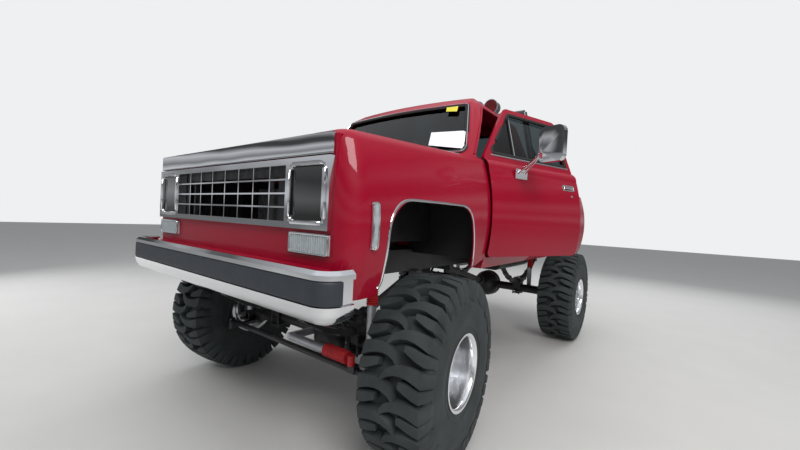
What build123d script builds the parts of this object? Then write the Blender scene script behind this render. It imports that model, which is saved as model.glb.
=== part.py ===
from build123d import *
import os
from math import cos, radians, sin, sqrt

# Lifted regular-cab pickup truck on tall mud tyres, in millimetres.
# X points to the vehicle's left, Y rearwards and Z up. The origin is on the ground, at the middle
# of the length and width. The driver's door is ajar and the front wheels are turned a little left.

os.makedirs("parts", exist_ok=True)

# Overall layout
wheelbase = 2985.0
front_overhang = 848.0
rear_overhang = 1026.0
overall_length = front_overhang + wheelbase + rear_overhang
body_width = 2022.0
tyre_radius = 512.0
axle_drop = 492.0
rocker_z = tyre_radius + axle_drop
front_axle_y = front_overhang - overall_length / 2
rear_axle_y = front_axle_y + wheelbase
body_half = body_width / 2
outside_x = body_half + 190.0
inside_x = body_half - 390.0

# Gaps between pieces
shut_gap = 8.0
glass_gap = 0.4
seat_gap = 0.3

# Body stations along Y
nose_y = front_axle_y - 700.0
fender_rear_y = front_axle_y + 648.0
windscreen_corner_y = front_axle_y + 600.0
hood_rear_y = front_axle_y + 455.0
door_front_y = fender_rear_y + shut_gap
door_length = 1062.0
door_rear_y = door_front_y + door_length
cab_back_y = front_axle_y + 1895.0
bed_front_y = cab_back_y + 22.0
rear_bumper_y = overall_length / 2
bed_rear_y = rear_bumper_y - 104.0
bed_length = bed_rear_y - bed_front_y
bumper_front_y = -overall_length / 2

# Body heights
belt_z = rocker_z + 790.0
hood_front_z = rocker_z + 700.0
widest_z = rocker_z + 360.0
shoulder_radius = 75.0
shoulder_z = belt_z - shoulder_radius
roof_edge_z = rocker_z + 1300.0
roof_top_z = rocker_z + 1372.0
door_sill_z = rocker_z + 85.0
cab_floor_z = rocker_z + 150.0
cab_floor_thickness = 30.0
bed_rail_z = rocker_z + 762.0
bed_floor_z = rocker_z + 235.0

# Body flank: an arc that is widest at widest_z, then a shoulder to the belt
flank_radius = 1150.0
belt_half = body_half - 106.0
roof_half = belt_half - 190.0
hood_half = body_half - 311.0
corner_radius = 110.0
panel_wall = 12.0
fender_wall = 6.0
pillar_wall = 60.0
cab_wall_half = body_half - 133.0

# Wheels and tyres
tyre_width = 378.0
tread_width = 326.0
tyre_sides = 28
lug_count = 20
lug_length = 72.0
lug_slant = 0.45
tread_base = tyre_radius - 24.0
track_half = body_half - 16.0
bead_radius = 190.5
flange_radius = 208.0
rim_width = 356.0
rim_wall = 8.0
disc_inset = 115.0
axle_z = tyre_radius

# Steering
kingpin_x = track_half - 235.0
tie_arm = 250.0
drag_arm = 170.0
steer_rest = 6.0
steer_ratio = 16.0
drop_arm = drag_arm

# Frame and springs
rail_half = 430.0
rail_height = 165.0
rail_flange = 62.0
rail_wall = 8.0
rail_top_z = rocker_z + 95.0
spring_x = 430.0
spring_width = 63.0
spring_half_length = 600.0
spring_rise = 235.0
leaf = 11.0

pieces = {}


def flank_x(z, inset=0.0):
    """Half width of the body at height z."""
    radius = flank_radius
    return body_half - inset - (radius - sqrt(radius**2 - (z - widest_z) ** 2))


def across(y):
    """Plane square to the length at y: its X is the vehicle's X and its Y is up."""
    return Plane(origin=(0, y, 0), x_dir=(1, 0, 0), z_dir=(0, -1, 0))


def top_slope_z(y):
    """Height of the hood and fender tops, which rise in one straight line to the belt."""
    share = (y - nose_y) / (fender_rear_y - nose_y)
    return hood_front_z + share * (belt_z - hood_front_z)


def bar(start, end, radius, bore=0.0):
    """Round bar or tube from one point to another."""
    start, end = Vector(*start), Vector(*end)
    with BuildPart() as rod:
        with BuildSketch(Plane(origin=start, z_dir=end - start)):
            Circle(radius)
            if bore:
                Circle(bore, mode=Mode.SUBTRACT)
        extrude(amount=(end - start).length)
    return rod.part


def upright(x, y, low, high, radius):
    """Upright round bar."""
    return bar((x, y, low), (x, y, high), radius)


def block(low, high):
    """Box between two corners."""
    middle = [(a + b) / 2 for a, b in zip(low, high)]
    size = [b - a for a, b in zip(low, high)]
    with BuildPart(Plane(origin=middle)) as solid:
        Box(*size)
    return solid.part


def side_prism(outline, radii, x_low, x_high, grow=0.0):
    """Prism along X of a closed outline of (y, z) points with rounded corners, grown all round."""
    with BuildPart() as prism:
        with BuildSketch(Plane.YZ.offset(x_low)):
            with BuildLine():
                FilletPolyline(*outline, radius=radii, close=True)
            make_face()
            if grow:
                offset(amount=grow)
        extrude(amount=x_high - x_low)
    return prism.part


def flank_block(y_low, y_high, z_low, z_high, inner_x, inset=0.0):
    """Solid between the left flank's arc and inner_x."""
    with BuildPart() as solid:
        with BuildSketch(across(y_low)):
            with BuildLine():
                middle_z = (z_low + z_high) / 2
                low = (flank_x(z_low, inset), z_low)
                high = (flank_x(z_high, inset), z_high)
                ThreePointArc(low, (flank_x(middle_z, inset), middle_z), high)
                Polyline(high, (inner_x, z_high), (inner_x, z_low), low)
            make_face()
        extrude(amount=y_low - y_high)
    return solid.part


def body_block(y_low, y_high, z_low, inner_x, inset=0.0):
    """Solid between the left side and inner_x, up to the belt, with the rounded shoulder."""
    turn_x = flank_x(shoulder_z) - shoulder_radius
    turn_z = belt_z - shoulder_radius
    radius = shoulder_radius - inset
    with BuildPart() as solid:
        with BuildSketch(across(y_low)):
            with BuildLine():
                low = (flank_x(z_low, inset), z_low)
                side = (turn_x + radius, turn_z)
                top = (turn_x, turn_z + radius)
                middle_z = (z_low + turn_z) / 2
                diagonal = radius * sqrt(0.5)
                ThreePointArc(low, (flank_x(middle_z, inset), middle_z), side)
                ThreePointArc(side, (turn_x + diagonal, turn_z + diagonal), top)
                Polyline(top, (inner_x, top[1]), (inner_x, z_low), low)
            make_face()
        extrude(amount=y_low - y_high)
    return solid.part


def arch_outline(axle_y):
    """Squarish wheel arch with an upright front leg, a flared foot and a rear leg that leans back."""
    foot = rocker_z - 60.0
    return [
        (axle_y - arch_front - 58, foot),
        (axle_y - arch_front, rocker_z + 18),
        (axle_y - arch_front + 12, rocker_z + arch_top),
        (axle_y + arch_rear - 150, rocker_z + arch_top + 6),
        (axle_y + arch_rear, foot),
    ]


arch_front = 462.0
arch_rear = 503.0
arch_top = 412.0
arch_radii = [0, 60, 190, 160, 0]
front_arch = arch_outline(front_axle_y)
rear_arch = arch_outline(rear_axle_y)


# Greenhouse: the cab above the belt tapers inwards and back
def greenhouse_plan(z, inset):
    """Plan of the greenhouse at height z, as one face."""
    share = (z - belt_z) / (roof_edge_z - belt_z)
    side = belt_half + share * (roof_half - belt_half) - inset
    corner_x = (belt_half - 48) + share * (roof_half - belt_half + 18) - inset
    corner_y = windscreen_corner_y + share * 330 + inset
    middle_y = windscreen_corner_y - 85 + share * 355 + inset
    back_y = cab_back_y - share * 70 - inset
    side_y = windscreen_corner_y + 70 + share * 330
    with BuildSketch(Plane.XY.offset(z)) as plan:
        with BuildLine():
            ThreePointArc((-corner_x, corner_y), (0, middle_y), (corner_x, corner_y))
            Polyline(
                (corner_x, corner_y),
                (side, side_y),
                (side, back_y),
                (-side, back_y),
                (-side, side_y),
                (-corner_x, corner_y),
            )
        make_face()
    return plan.sketch


def greenhouse(inset, low=belt_z, high=roof_edge_z):
    """Body between two heights that follows the pillars."""
    with BuildPart() as solid:
        loft([greenhouse_plan(low, inset), greenhouse_plan(high, inset)], ruled=True)
    return solid.part


# Front fenders: the door's section drawn forward and down along the slope of the hood
fender_slope = Vector(0, nose_y - fender_rear_y, hood_front_z - belt_z)
fender_inner_x = hood_half + shut_gap / 2
nose_half = body_half - corner_radius
nose_top_z = hood_front_z - 30.0
nose_foot_z = rocker_z - 38.0


def fender_solid(inset, inner_x=fender_inner_x):
    """Left fender as a full solid whose outer face lies inset below the real one."""
    foot_z = nose_foot_z
    front_y = nose_y + inset
    run = fender_slope * ((front_y - fender_rear_y) / fender_slope.Y)
    top_z = belt_z - inset
    with BuildPart() as solid:
        with BuildSketch(across(fender_rear_y)):
            with BuildLine():
                low = (flank_x(foot_z, inset), foot_z)
                high = (flank_x(top_z, inset), top_z)
                ThreePointArc(low, (flank_x(widest_z, inset), widest_z), high)
                Polyline(high, (inner_x, top_z), (inner_x, foot_z), low)
            make_face()
        extrude(amount=run.length, dir=run)
        front_edges = edges().filter_by(lambda edge: abs(edge.center().Y - front_y) < 1)
        fillet(front_edges.sort_by(Axis.X)[-1], corner_radius - inset)
        top_edges = edges().filter_by(
            lambda edge: edge.center().X > inner_x + 5
            and abs(edge.center().Z + inset - top_slope_z(edge.center().Y)) < 6
            and edge.center().Y < fender_rear_y - 1
        )
        fillet(top_edges, shoulder_radius - inset)
    return solid.part




with BuildPart() as fender_left:
    add(fender_solid(0.0))
    add(fender_solid(fender_wall, hood_half - 60), mode=Mode.SUBTRACT)
    add(side_prism(front_arch, arch_radii, hood_half - 100, outside_x), mode=Mode.SUBTRACT)
    nose_cut_high = (nose_half + seat_gap, nose_y + 60, nose_top_z + seat_gap)
    nose_cut = (hood_half - 100, nose_y - 5, rocker_z - 200), nose_cut_high
    add(block(*nose_cut), mode=Mode.SUBTRACT)
    add(greenhouse(-shut_gap, belt_z - 100, belt_z + 10), mode=Mode.SUBTRACT)
    below = (hood_half - 100, nose_y - 5, rocker_z - 300), (outside_x, fender_rear_y + 5, nose_foot_z)
    add(block(*below), mode=Mode.SUBTRACT)
    # the edge behind the arch rises to the door's foot
    foot_outline = [
        (front_axle_y + arch_rear - 100, rocker_z - 80),
        (front_axle_y + arch_rear - 100, rocker_z + 8),
        (front_axle_y + arch_rear - 10, rocker_z + 16),
        (fender_rear_y + 5, door_sill_z - 12),
        (fender_rear_y + 5, rocker_z - 80),
    ]
    add(side_prism(foot_outline, [0, 0, 30, 0, 0], hood_half - 100, outside_x), mode=Mode.SUBTRACT)

with BuildPart() as fenders:
    add(fender_left.part)
    mirror(fender_left.part, about=Plane.YZ)
pieces["fenders"] = fenders

# Hood: a crowned skin with its rear hinge line near the cowl
hood_crown = 26.0
hood_thickness = 24.0
hood_front_y = nose_y + 4.0
hood_hinge_y = hood_rear_y + 45.0
hood_hinge_z = top_slope_z(hood_rear_y) - 25.0
hood_hinge_x = hood_half - 96.0
hinge_pin_radius = 6.0
hinge_play = 0.05


def hood_section(y):
    """Section of the hood's skin at y."""
    edge = hood_half - shut_gap / 2
    z = top_slope_z(y)
    with BuildSketch(across(y)) as section:
        with BuildLine():
            ThreePointArc((-edge, z), (0, z + hood_crown), (edge, z))
            Line((edge, z), (edge, z - hood_thickness))
            ThreePointArc(
                (edge, z - hood_thickness),
                (0, z + hood_crown - hood_thickness),
                (-edge, z - hood_thickness),
            )
            Line((-edge, z - hood_thickness), (-edge, z))
        make_face()
    return section.sketch


with BuildPart() as hood:
    loft([hood_section(hood_front_y), hood_section(hood_rear_y)], ruled=True)
    # hinge arms that reach back over the cowl
    for sign in (1, -1):
        low_x, high_x = sorted((sign * (hood_hinge_x - 6), sign * (hood_hinge_x + 6)))
        add(block((low_x, hood_rear_y - 60, hood_hinge_z - 7), (high_x, hood_hinge_y, hood_hinge_z + 7)))
        add(bar((low_x, hood_hinge_y, hood_hinge_z), (high_x, hood_hinge_y, hood_hinge_z), 11))
        bore_ends = ((low_x - 1, hood_hinge_y, hood_hinge_z), (high_x + 1, hood_hinge_y, hood_hinge_z))
        add(bar(*bore_ends, hinge_pin_radius + hinge_play), mode=Mode.SUBTRACT)
pieces["hood"] = hood


# Cab: a lower shell with the body's flank and a tapering greenhouse
with BuildPart() as roof_cap:
    loft([greenhouse_plan(roof_edge_z, 0.0), greenhouse_plan(roof_top_z, 55.0)], ruled=True)

screen_base_half = belt_half - 100.0
screen_top_half = roof_half - 62.0
screen_base_z = belt_z + 46.0
rear_base_half = roof_half - 155.0
rear_top_half = roof_half - 195.0
windscreen_outline = [
    (-screen_base_half, screen_base_z),
    (-screen_top_half, roof_edge_z - 22),
    (screen_top_half, roof_edge_z - 22),
    (screen_base_half, screen_base_z),
]
rear_window_outline = [
    (-rear_base_half, belt_z + 60),
    (-rear_top_half, roof_edge_z - 60),
    (rear_top_half, roof_edge_z - 60),
    (rear_base_half, belt_z + 60),
]


def front_view_prism(outline, y_low, y_high, inset=0.0, radius=45.0):
    """Prism along Y of a rounded window outline in the front view."""
    with BuildPart() as prism:
        with BuildSketch(across(y_low)):
            with BuildLine():
                FilletPolyline(*outline, radius=radius, close=True)
            make_face()
            if inset:
                offset(amount=-inset)
        extrude(amount=y_low - y_high)
    return prism.part


door_outline = [
    (door_front_y, door_sill_z),
    (door_rear_y, door_sill_z),
    (door_rear_y, belt_z + 8),
    (door_rear_y - 30, roof_edge_z - 42),
    (windscreen_corner_y + 420, roof_edge_z - 42),
    (door_front_y, belt_z + 16),
]
door_radii = [40, 40, 0, 60, 70, 30]


firewall_y = windscreen_corner_y + 45.0
cowl_y = hood_rear_y + 14.0
cowl_half = fender_inner_x - shut_gap
cowl_top_z = hood_hinge_z - 17.0
pillar_y = door_front_y - 76.0
pillar_half = cab_wall_half + 27.0
cabin_front_y = firewall_y + 22.0
cabin_half = cab_wall_half - 6.0
cab_wall_back = 45.0
door_pin_x = body_half - 37.0
door_pin_y = fender_rear_y - 52.0
door_hinge_heights = (rocker_z + 215.0, rocker_z + 510.0)
door_leaf_height = 44.0
lug_gap = 1.0
lug_height = 9.0


def both_sides(left):
    """A left-hand solid with its mirror image."""
    return left + left.mirror(Plane.YZ)


def door_lugs(z):
    """Two lugs and the pin of one door hinge, from the hinge pillar to the pin's line."""
    low = z - door_leaf_height / 2 - lug_gap
    high = z + door_leaf_height / 2 + lug_gap
    with BuildPart() as lugs:
        for lug_z in (low - lug_height, high):
            lug_low = (pillar_half - 1, door_pin_y - 11, lug_z)
            add(block(lug_low, (door_pin_x, door_pin_y + 11, lug_z + lug_height)))
            add(upright(door_pin_x, door_pin_y, lug_z, lug_z + lug_height, 11))
        add(upright(door_pin_x, door_pin_y, low - lug_height, high + lug_height, hinge_pin_radius))
    return lugs.part


with BuildPart() as cab:
    # floor, rockers, rear corners and back wall, under the flank's arc
    add(both_sides(body_block(door_front_y, cab_back_y, rocker_z, 0)))
    # hinge pillars and firewall below the fender's top, cowl between the fenders
    add(block((-pillar_half, pillar_y, rocker_z + 60), (pillar_half, door_front_y, belt_z - 45)))
    add(block((-cowl_half, cowl_y, cowl_top_z - 30), (cowl_half, door_front_y + 60, cowl_top_z)))
    add(greenhouse(0.0, cowl_top_z - 4))
    add(roof_cap.part)
    # cabin
    add(greenhouse(pillar_wall, belt_z - 120, roof_edge_z + 1), mode=Mode.SUBTRACT)
    add(
        block((-cabin_half, cabin_front_y, cab_floor_z), (cabin_half, cab_back_y - cab_wall_back, belt_z - 70)),
        mode=Mode.SUBTRACT,
    )
    # openings for the doors, the windscreen and the rear window
    door_hole = side_prism(door_outline, door_radii, inside_x, outside_x, shut_gap)
    add(door_hole, mode=Mode.SUBTRACT)
    add(door_hole.mirror(Plane.YZ), mode=Mode.SUBTRACT)
    add(front_view_prism(windscreen_outline, front_axle_y + 300, front_axle_y + 1100), mode=Mode.SUBTRACT)
    add(front_view_prism(rear_window_outline, cab_back_y - 300, cab_back_y + 100), mode=Mode.SUBTRACT)
    # open underside between the rockers
    under_high = (cabin_half, cab_back_y + 1, cab_floor_z - cab_floor_thickness)
    under = ((-cabin_half, pillar_y - 1, rocker_z - 1), under_high)
    add(block(*under), mode=Mode.SUBTRACT)
    for z in door_hinge_heights:
        add(both_sides(door_lugs(z)))
    # hood hinge lugs on the cowl
    for sign in (1, -1):
        for low, high in ((-20, -8), (8, 20)):
            low_x, high_x = sorted((sign * (hood_hinge_x + low), sign * (hood_hinge_x + high)))
            add(block((low_x, hood_hinge_y - 11, cowl_top_z - 1), (high_x, hood_hinge_y + 11, hood_hinge_z)))
            add(bar((low_x, hood_hinge_y, hood_hinge_z), (high_x, hood_hinge_y, hood_hinge_z), 11))
        pin_x = sign * hood_hinge_x
        pin_ends = ((pin_x - 9, hood_hinge_y, hood_hinge_z), (pin_x + 9, hood_hinge_y, hood_hinge_z))
        add(bar(*pin_ends, hinge_pin_radius))
pieces["cab"] = cab

glass_depth = 20.0
glass_thickness = 6.0
with BuildPart() as cab_glass:
    add(greenhouse(glass_depth))
    add(greenhouse(glass_depth + glass_thickness), mode=Mode.SUBTRACT)
    panes = [
        front_view_prism(windscreen_outline, front_axle_y + 300, front_axle_y + 1100, glass_gap),
        front_view_prism(rear_window_outline, cab_back_y - 300, cab_back_y + 100, glass_gap),
    ]
    add(panes[0] + panes[1], mode=Mode.INTERSECT)
pieces["cab_glass"] = cab_glass

# Doors: a full-thickness lower panel and a window frame that leans with the pillars
door_ajar = 20.0
door_lip = 3.0
door_lip_length = 34.0
door_step = 14.0
window_outline = [
    (door_front_y + 76, belt_z + 52),
    (windscreen_corner_y + 446, roof_edge_z - 92),
    (door_rear_y - 82, roof_edge_z - 92),
    (door_rear_y - 58, belt_z + 52),
]
window_radii = [30, 50, 40, 30]


def leaning_plate(depth, thickness):
    """Plate parallel to the greenhouse side, its outer face depth below it."""
    slope = (roof_half - belt_half) / (roof_edge_z - belt_z)
    low, high = belt_z - 60, roof_edge_z
    with BuildPart() as plate:
        with BuildSketch(across(door_front_y - 20)):
            with BuildLine():
                Polyline(
                    (belt_half + slope * (low - belt_z) - depth, low),
                    (belt_half + slope * (high - belt_z) - depth, high),
                    (belt_half + slope * (high - belt_z) - depth - thickness, high),
                    (belt_half + slope * (low - belt_z) - depth - thickness, low),
                    close=True,
                )
            make_face()
        extrude(amount=-(door_length + 40))
    return plate.part


def door_leaf(z):
    """Curved hinge leaf of the door with its pin hole."""
    with BuildPart() as solid:
        with BuildSketch(Plane.XY.offset(z - door_leaf_height / 2)):
            with BuildLine():
                Polyline(
                    (door_pin_x, door_pin_y),
                    (door_pin_x - 22, door_pin_y + 6),
                    (door_pin_x - 42, door_pin_y + 27),
                    (door_pin_x - 51, door_pin_y + 39),
                    (door_pin_x - 44, door_front_y + door_lip_length + 2),
                )
            trace(line_width=8)
            with Locations((door_pin_x, door_pin_y)):
                Circle(11)
                Circle(hinge_pin_radius + hinge_play, mode=Mode.SUBTRACT)
        extrude(amount=door_leaf_height)
    return solid.part


with BuildPart() as door_closed:
    add(body_block(door_front_y - 20, door_rear_y + 20, door_sill_z - 20, cab_wall_half))
    add(leaning_plate(0.0, 45.0))
    add(side_prism(door_outline, door_radii, inside_x, outside_x), mode=Mode.INTERSECT)
    # rebate inside the shut line, behind the skin
    ring = side_prism(door_outline, door_radii, inside_x - 10, outside_x + 10, 30.0) - side_prism(
        door_outline, door_radii, inside_x - 20, outside_x + 20, -door_step
    )
    behind_skin = body_block(door_front_y - 60, door_rear_y + 60, door_sill_z - 60, 500, panel_wall)
    add((behind_skin + leaning_plate(panel_wall, 200.0)) & ring, mode=Mode.SUBTRACT)
    # thin lip that passes the fender's edge
    lip_end = door_front_y + door_lip_length
    add(body_block(door_front_y - 50, lip_end, door_sill_z - 50, 500, door_lip), mode=Mode.SUBTRACT)
    add(side_prism(window_outline, window_radii, inside_x - 20, outside_x), mode=Mode.SUBTRACT)
    # hinge leaves that curve round the fender's edge
    for z in door_hinge_heights:
        add(door_leaf(z))

with BuildPart() as glass_closed:
    add(leaning_plate(20.0, 6.0))
    add(side_prism(window_outline, window_radii, inside_x - 20, outside_x, -glass_gap), mode=Mode.INTERSECT)

# Mirror: a plate on the door, a tripod of tubes and a tall head
mirror_y = door_front_y + 285.0
mirror_z = belt_z + 30.0
mirror_reach = 300.0
mirror_foot_z = shoulder_z - 50.0
foot_x = flank_x(mirror_foot_z) - 4.7
head_x = foot_x + mirror_reach
with BuildPart(Plane(origin=(head_x - 10, mirror_y - 10, mirror_z + 60))) as mirror_head:
    Box(190, 40, 240)
    fillet(edges().filter_by(Axis.Y), 45)

with BuildPart() as mirror_closed:
    add(mirror_head.part)
    add(bar((foot_x + 6, mirror_y, mirror_foot_z + 40), (head_x - 85, mirror_y - 10, mirror_z + 10), 9))
    add(bar((foot_x + 6, mirror_y + 70, mirror_foot_z + 40), (head_x - 85, mirror_y - 10, mirror_z + 10), 9))
    add(block((foot_x + 5, mirror_y - 30, mirror_foot_z), (foot_x + 13, mirror_y + 100, mirror_foot_z + 72)))
    with Locations((head_x - 85, mirror_y - 10, mirror_z + 10)):
        Sphere(24)

hinge_line = Axis((door_pin_x, door_pin_y, 0), (0, 0, 1))
for label, closed in (
    ("door", door_closed),
    ("door_glass", glass_closed),
    ("mirror", mirror_closed),
):
    with BuildPart() as left:
        add(closed.part.rotate(hinge_line, -door_ajar))
    pieces[label + "_left"] = left
    with BuildPart() as right:
        mirror(closed.part, about=Plane.YZ)
    pieces[label + "_right"] = right

# Nose panel between the fenders, with holes for the grille, headlamps and park lamps
nose_low_z = rocker_z + 95.0
grille_low_z = rocker_z + 255.0
grille_high_z = rocker_z + 575.0
bezel_outer_x = nose_half - 6.0
bezel_inner_x = bezel_outer_x - 290.0
park_outer_x = bezel_outer_x - 10.0
park_inner_x = park_outer_x - 262.0
park_low_z = rocker_z + 148.0
park_high_z = rocker_z + 236.0
with BuildPart() as nose_panel:
    add(block((-nose_half, nose_y, nose_low_z), (nose_half, nose_y + 25, nose_top_z)))
    add(
        block((-bezel_outer_x, nose_y - 1, grille_low_z), (bezel_outer_x, nose_y + 26, grille_high_z)),
        mode=Mode.SUBTRACT,
    )
    for sign in (1, -1):
        low_x, high_x = sorted((sign * park_inner_x, sign * park_outer_x))
        add(block((low_x, nose_y - 1, park_low_z), (high_x, nose_y + 26, park_high_z)), mode=Mode.SUBTRACT)
pieces["nose_panel"] = nose_panel

with BuildPart() as valance:
    with BuildSketch(Plane.YZ.offset(-nose_half)):
        with BuildLine():
            Polyline(
                (nose_y, nose_low_z - seat_gap),
                (nose_y - 75, nose_low_z - 40),
                (nose_y - 75, nose_low_z - 52),
                (nose_y + 12, nose_low_z - 12),
                (nose_y + 12, nose_low_z - seat_gap),
                close=True,
            )
        make_face()
    extrude(amount=2 * nose_half)
pieces["valance"] = valance

with BuildPart() as grille:
    ring = 30.0
    grille_front_y = nose_y - 28
    grille_low = (-bezel_outer_x + seat_gap, grille_front_y, grille_low_z + seat_gap)
    add(block(grille_low, (bezel_outer_x - seat_gap, nose_y + 20, grille_high_z - seat_gap)))
    for low_x, high_x in (
        (-bezel_inner_x + ring / 2, bezel_inner_x - ring / 2),
        (bezel_inner_x + ring / 2, bezel_outer_x - ring),
        (-bezel_outer_x + ring, -bezel_inner_x - ring / 2),
    ):
        add(
            block((low_x, grille_front_y - 1, grille_low_z + ring), (high_x, nose_y + 30, grille_high_z - ring)),
            mode=Mode.SUBTRACT,
        )
    for bar_index in range(1, 4):
        bar_z = grille_low_z + ring + bar_index * (grille_high_z - grille_low_z - 2 * ring) / 4
        add(block((-bezel_inner_x + 10, nose_y - 18, bar_z - 4), (bezel_inner_x - 10, nose_y + 10, bar_z + 4)))
    for bar_index in range(1, 8):
        bar_x = -bezel_inner_x + ring / 2 + bar_index * (2 * bezel_inner_x - ring) / 8
        add(block((bar_x - 4, nose_y - 16, grille_low_z + 20), (bar_x + 4, nose_y + 8, grille_high_z - 20)))
pieces["grille"] = grille

with BuildPart() as headlamp_covers:
    for sign in (1, -1):
        low_x, high_x = sorted((sign * (bezel_inner_x + 15.3), sign * (bezel_outer_x - 30.3)))
        add(block((low_x, nose_y - 18, grille_low_z + 30.3), (high_x, nose_y - 10, grille_high_z - 30.3)))
pieces["headlamp_covers"] = headlamp_covers

with BuildPart() as lamp_lenses:
    for sign in (1, -1):
        low_x, high_x = sorted((sign * (park_inner_x + glass_gap), sign * (park_outer_x - glass_gap)))
        add(block((low_x, nose_y - 14, park_low_z + glass_gap), (high_x, nose_y + 20, park_high_z - glass_gap)))
    marker = fender_solid(-9.0) - fender_solid(-seat_gap)
    marker_low = (body_half - 111, front_axle_y - 580, rocker_z + 185)
    marker = marker & block(marker_low, (outside_x, front_axle_y - 545, rocker_z + 387))
    add(both_sides(marker))
pieces["lamp_lenses"] = lamp_lenses


# Bumpers: a folded section along the middle, turned round both corners
def bumper_section():
    """Closed section of the front bumper in (y, z), its face at y = 0."""
    low, high = rocker_z - 122, rocker_z + 108
    return [
        (60, high - 6),
        (18, high),
        (0, high - 16),
        (0, pad_high_z + 4),
        (14, pad_high_z),
        (14, pad_low_z),
        (0, pad_low_z - 4),
        (6, rocker_z - 66),
        (30, rocker_z - 102),
        (80, low),
        (82, low + 8),
        (38, rocker_z - 96),
        (24, rocker_z - 60),
        (26, rocker_z + 50),
        (26, high - 22),
        (60, high - 14),
    ]


pad_low_z = rocker_z - 27.0
pad_high_z = rocker_z + 68.0
bumper_half = body_half + 26.0
wrap_radius = 92.0
wrap_rear_y = front_axle_y - 690.0
with BuildPart() as front_bumper:
    bumper_end = bumper_half - wrap_radius
    with BuildSketch(Plane.YZ.offset(-bumper_end)):
        with BuildLine():
            Polyline(*[(bumper_front_y + y, z) for y, z in bumper_section()], close=True)
        make_face()
    extrude(amount=2 * bumper_end)
    for sign in (1, -1):
        turn = Axis((sign * bumper_end, bumper_front_y + wrap_radius, 0), (0, 0, sign))
        with BuildSketch(Plane.YZ.offset(sign * bumper_end)):
            with BuildLine():
                Polyline(*[(bumper_front_y + y, z) for y, z in bumper_section()], close=True)
            make_face()
        revolve(axis=turn, revolution_arc=90)
        with BuildSketch(across(bumper_front_y + wrap_radius)):
            with BuildLine():
                outer = sign * (bumper_end + wrap_radius)
                Polyline(*[(outer - sign * y, z) for y, z in bumper_section()], close=True)
            make_face()
        extrude(amount=-(wrap_rear_y - bumper_front_y - wrap_radius))
    clear = flank_block(nose_y - 8, wrap_rear_y + 1, rocker_z - 140, rocker_z + 140, 0, inset=-5)
    add(both_sides(clear), mode=Mode.SUBTRACT)
    add(both_sides(fender_solid(-5.0, 600)), mode=Mode.SUBTRACT)
pieces["front_bumper"] = front_bumper

with BuildPart() as bumper_pad:
    add(
        block(
            (-bumper_end, bumper_front_y + 1, pad_low_z + seat_gap),
            (bumper_end, bumper_front_y + 14 - seat_gap, pad_high_z - seat_gap),
        )
    )
pieces["bumper_pad"] = bumper_pad

rear_bumper_half = body_half - 81.0
with BuildPart() as rear_bumper:
    rear_high = (rear_bumper_half, rear_bumper_y, rocker_z + 115)
    add(block((-rear_bumper_half, rear_bumper_y - 75, rocker_z - 55), rear_high))
    rear_high = (rear_bumper_half - 12, rear_bumper_y - 8, rocker_z + 107)
    add(block((12 - rear_bumper_half, rear_bumper_y - 80, rocker_z - 60), rear_high), mode=Mode.SUBTRACT)
    fillet(edges().filter_by(Axis.Z).sort_by(Axis.Y)[-2:], 7)
    with Locations((0, rear_bumper_y - 36, rocker_z + 111)):
        Hole(13, 40)
pieces["rear_bumper"] = rear_bumper

# Radiator support and inner fenders
inner_fender_x = hood_half - 140.0
support_half = nose_half - 21.0
with BuildPart() as front_panels:
    support_y = nose_y + 25 + seat_gap
    support_high = (support_half, support_y + 24, rocker_z + 560)
    add(block((-support_half, support_y, rail_top_z + seat_gap), support_high))
    add(block((-460, nose_y + 20, rail_top_z + 40), (460, nose_y + 60, rocker_z + 500)), mode=Mode.SUBTRACT)
    for sign in (1, -1):
        low_x, high_x = sorted((sign * inner_fender_x, sign * (inner_fender_x + 12)))
        add(block((low_x, support_y + 20, rocker_z + 170), (high_x, pillar_y - seat_gap, rocker_z + 560)))
        low_x, high_x = sorted((sign * inner_fender_x, sign * (support_half - 20)))
        add(block((low_x, support_y + 20, rocker_z + 470), (high_x, pillar_y - seat_gap, rocker_z + 482)))
pieces["front_panels"] = front_panels

# Bed: floor, front wall and two-walled sides over the wheel arches
bed_side_width = 191.0
bed_inner_half = body_half - bed_side_width
bed_wall = 20.0
bed_floor_thickness = 30.0
wheelhouse_half = bed_inner_half - 180.0
wheelhouse_top_z = bed_floor_z + 235.0
wheelhouse_y_half = 430.0
gate_thickness = 48.0
gate_pin_y = bed_rear_y - 2.0 - gate_thickness / 2
gate_pin_z = bed_floor_z - 12.0
gate_pin_radius = 12.0
bed_floor_rear_y = gate_pin_y - gate_thickness / 2 - 16.0
under_floor_z = bed_floor_z - bed_floor_thickness

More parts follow.
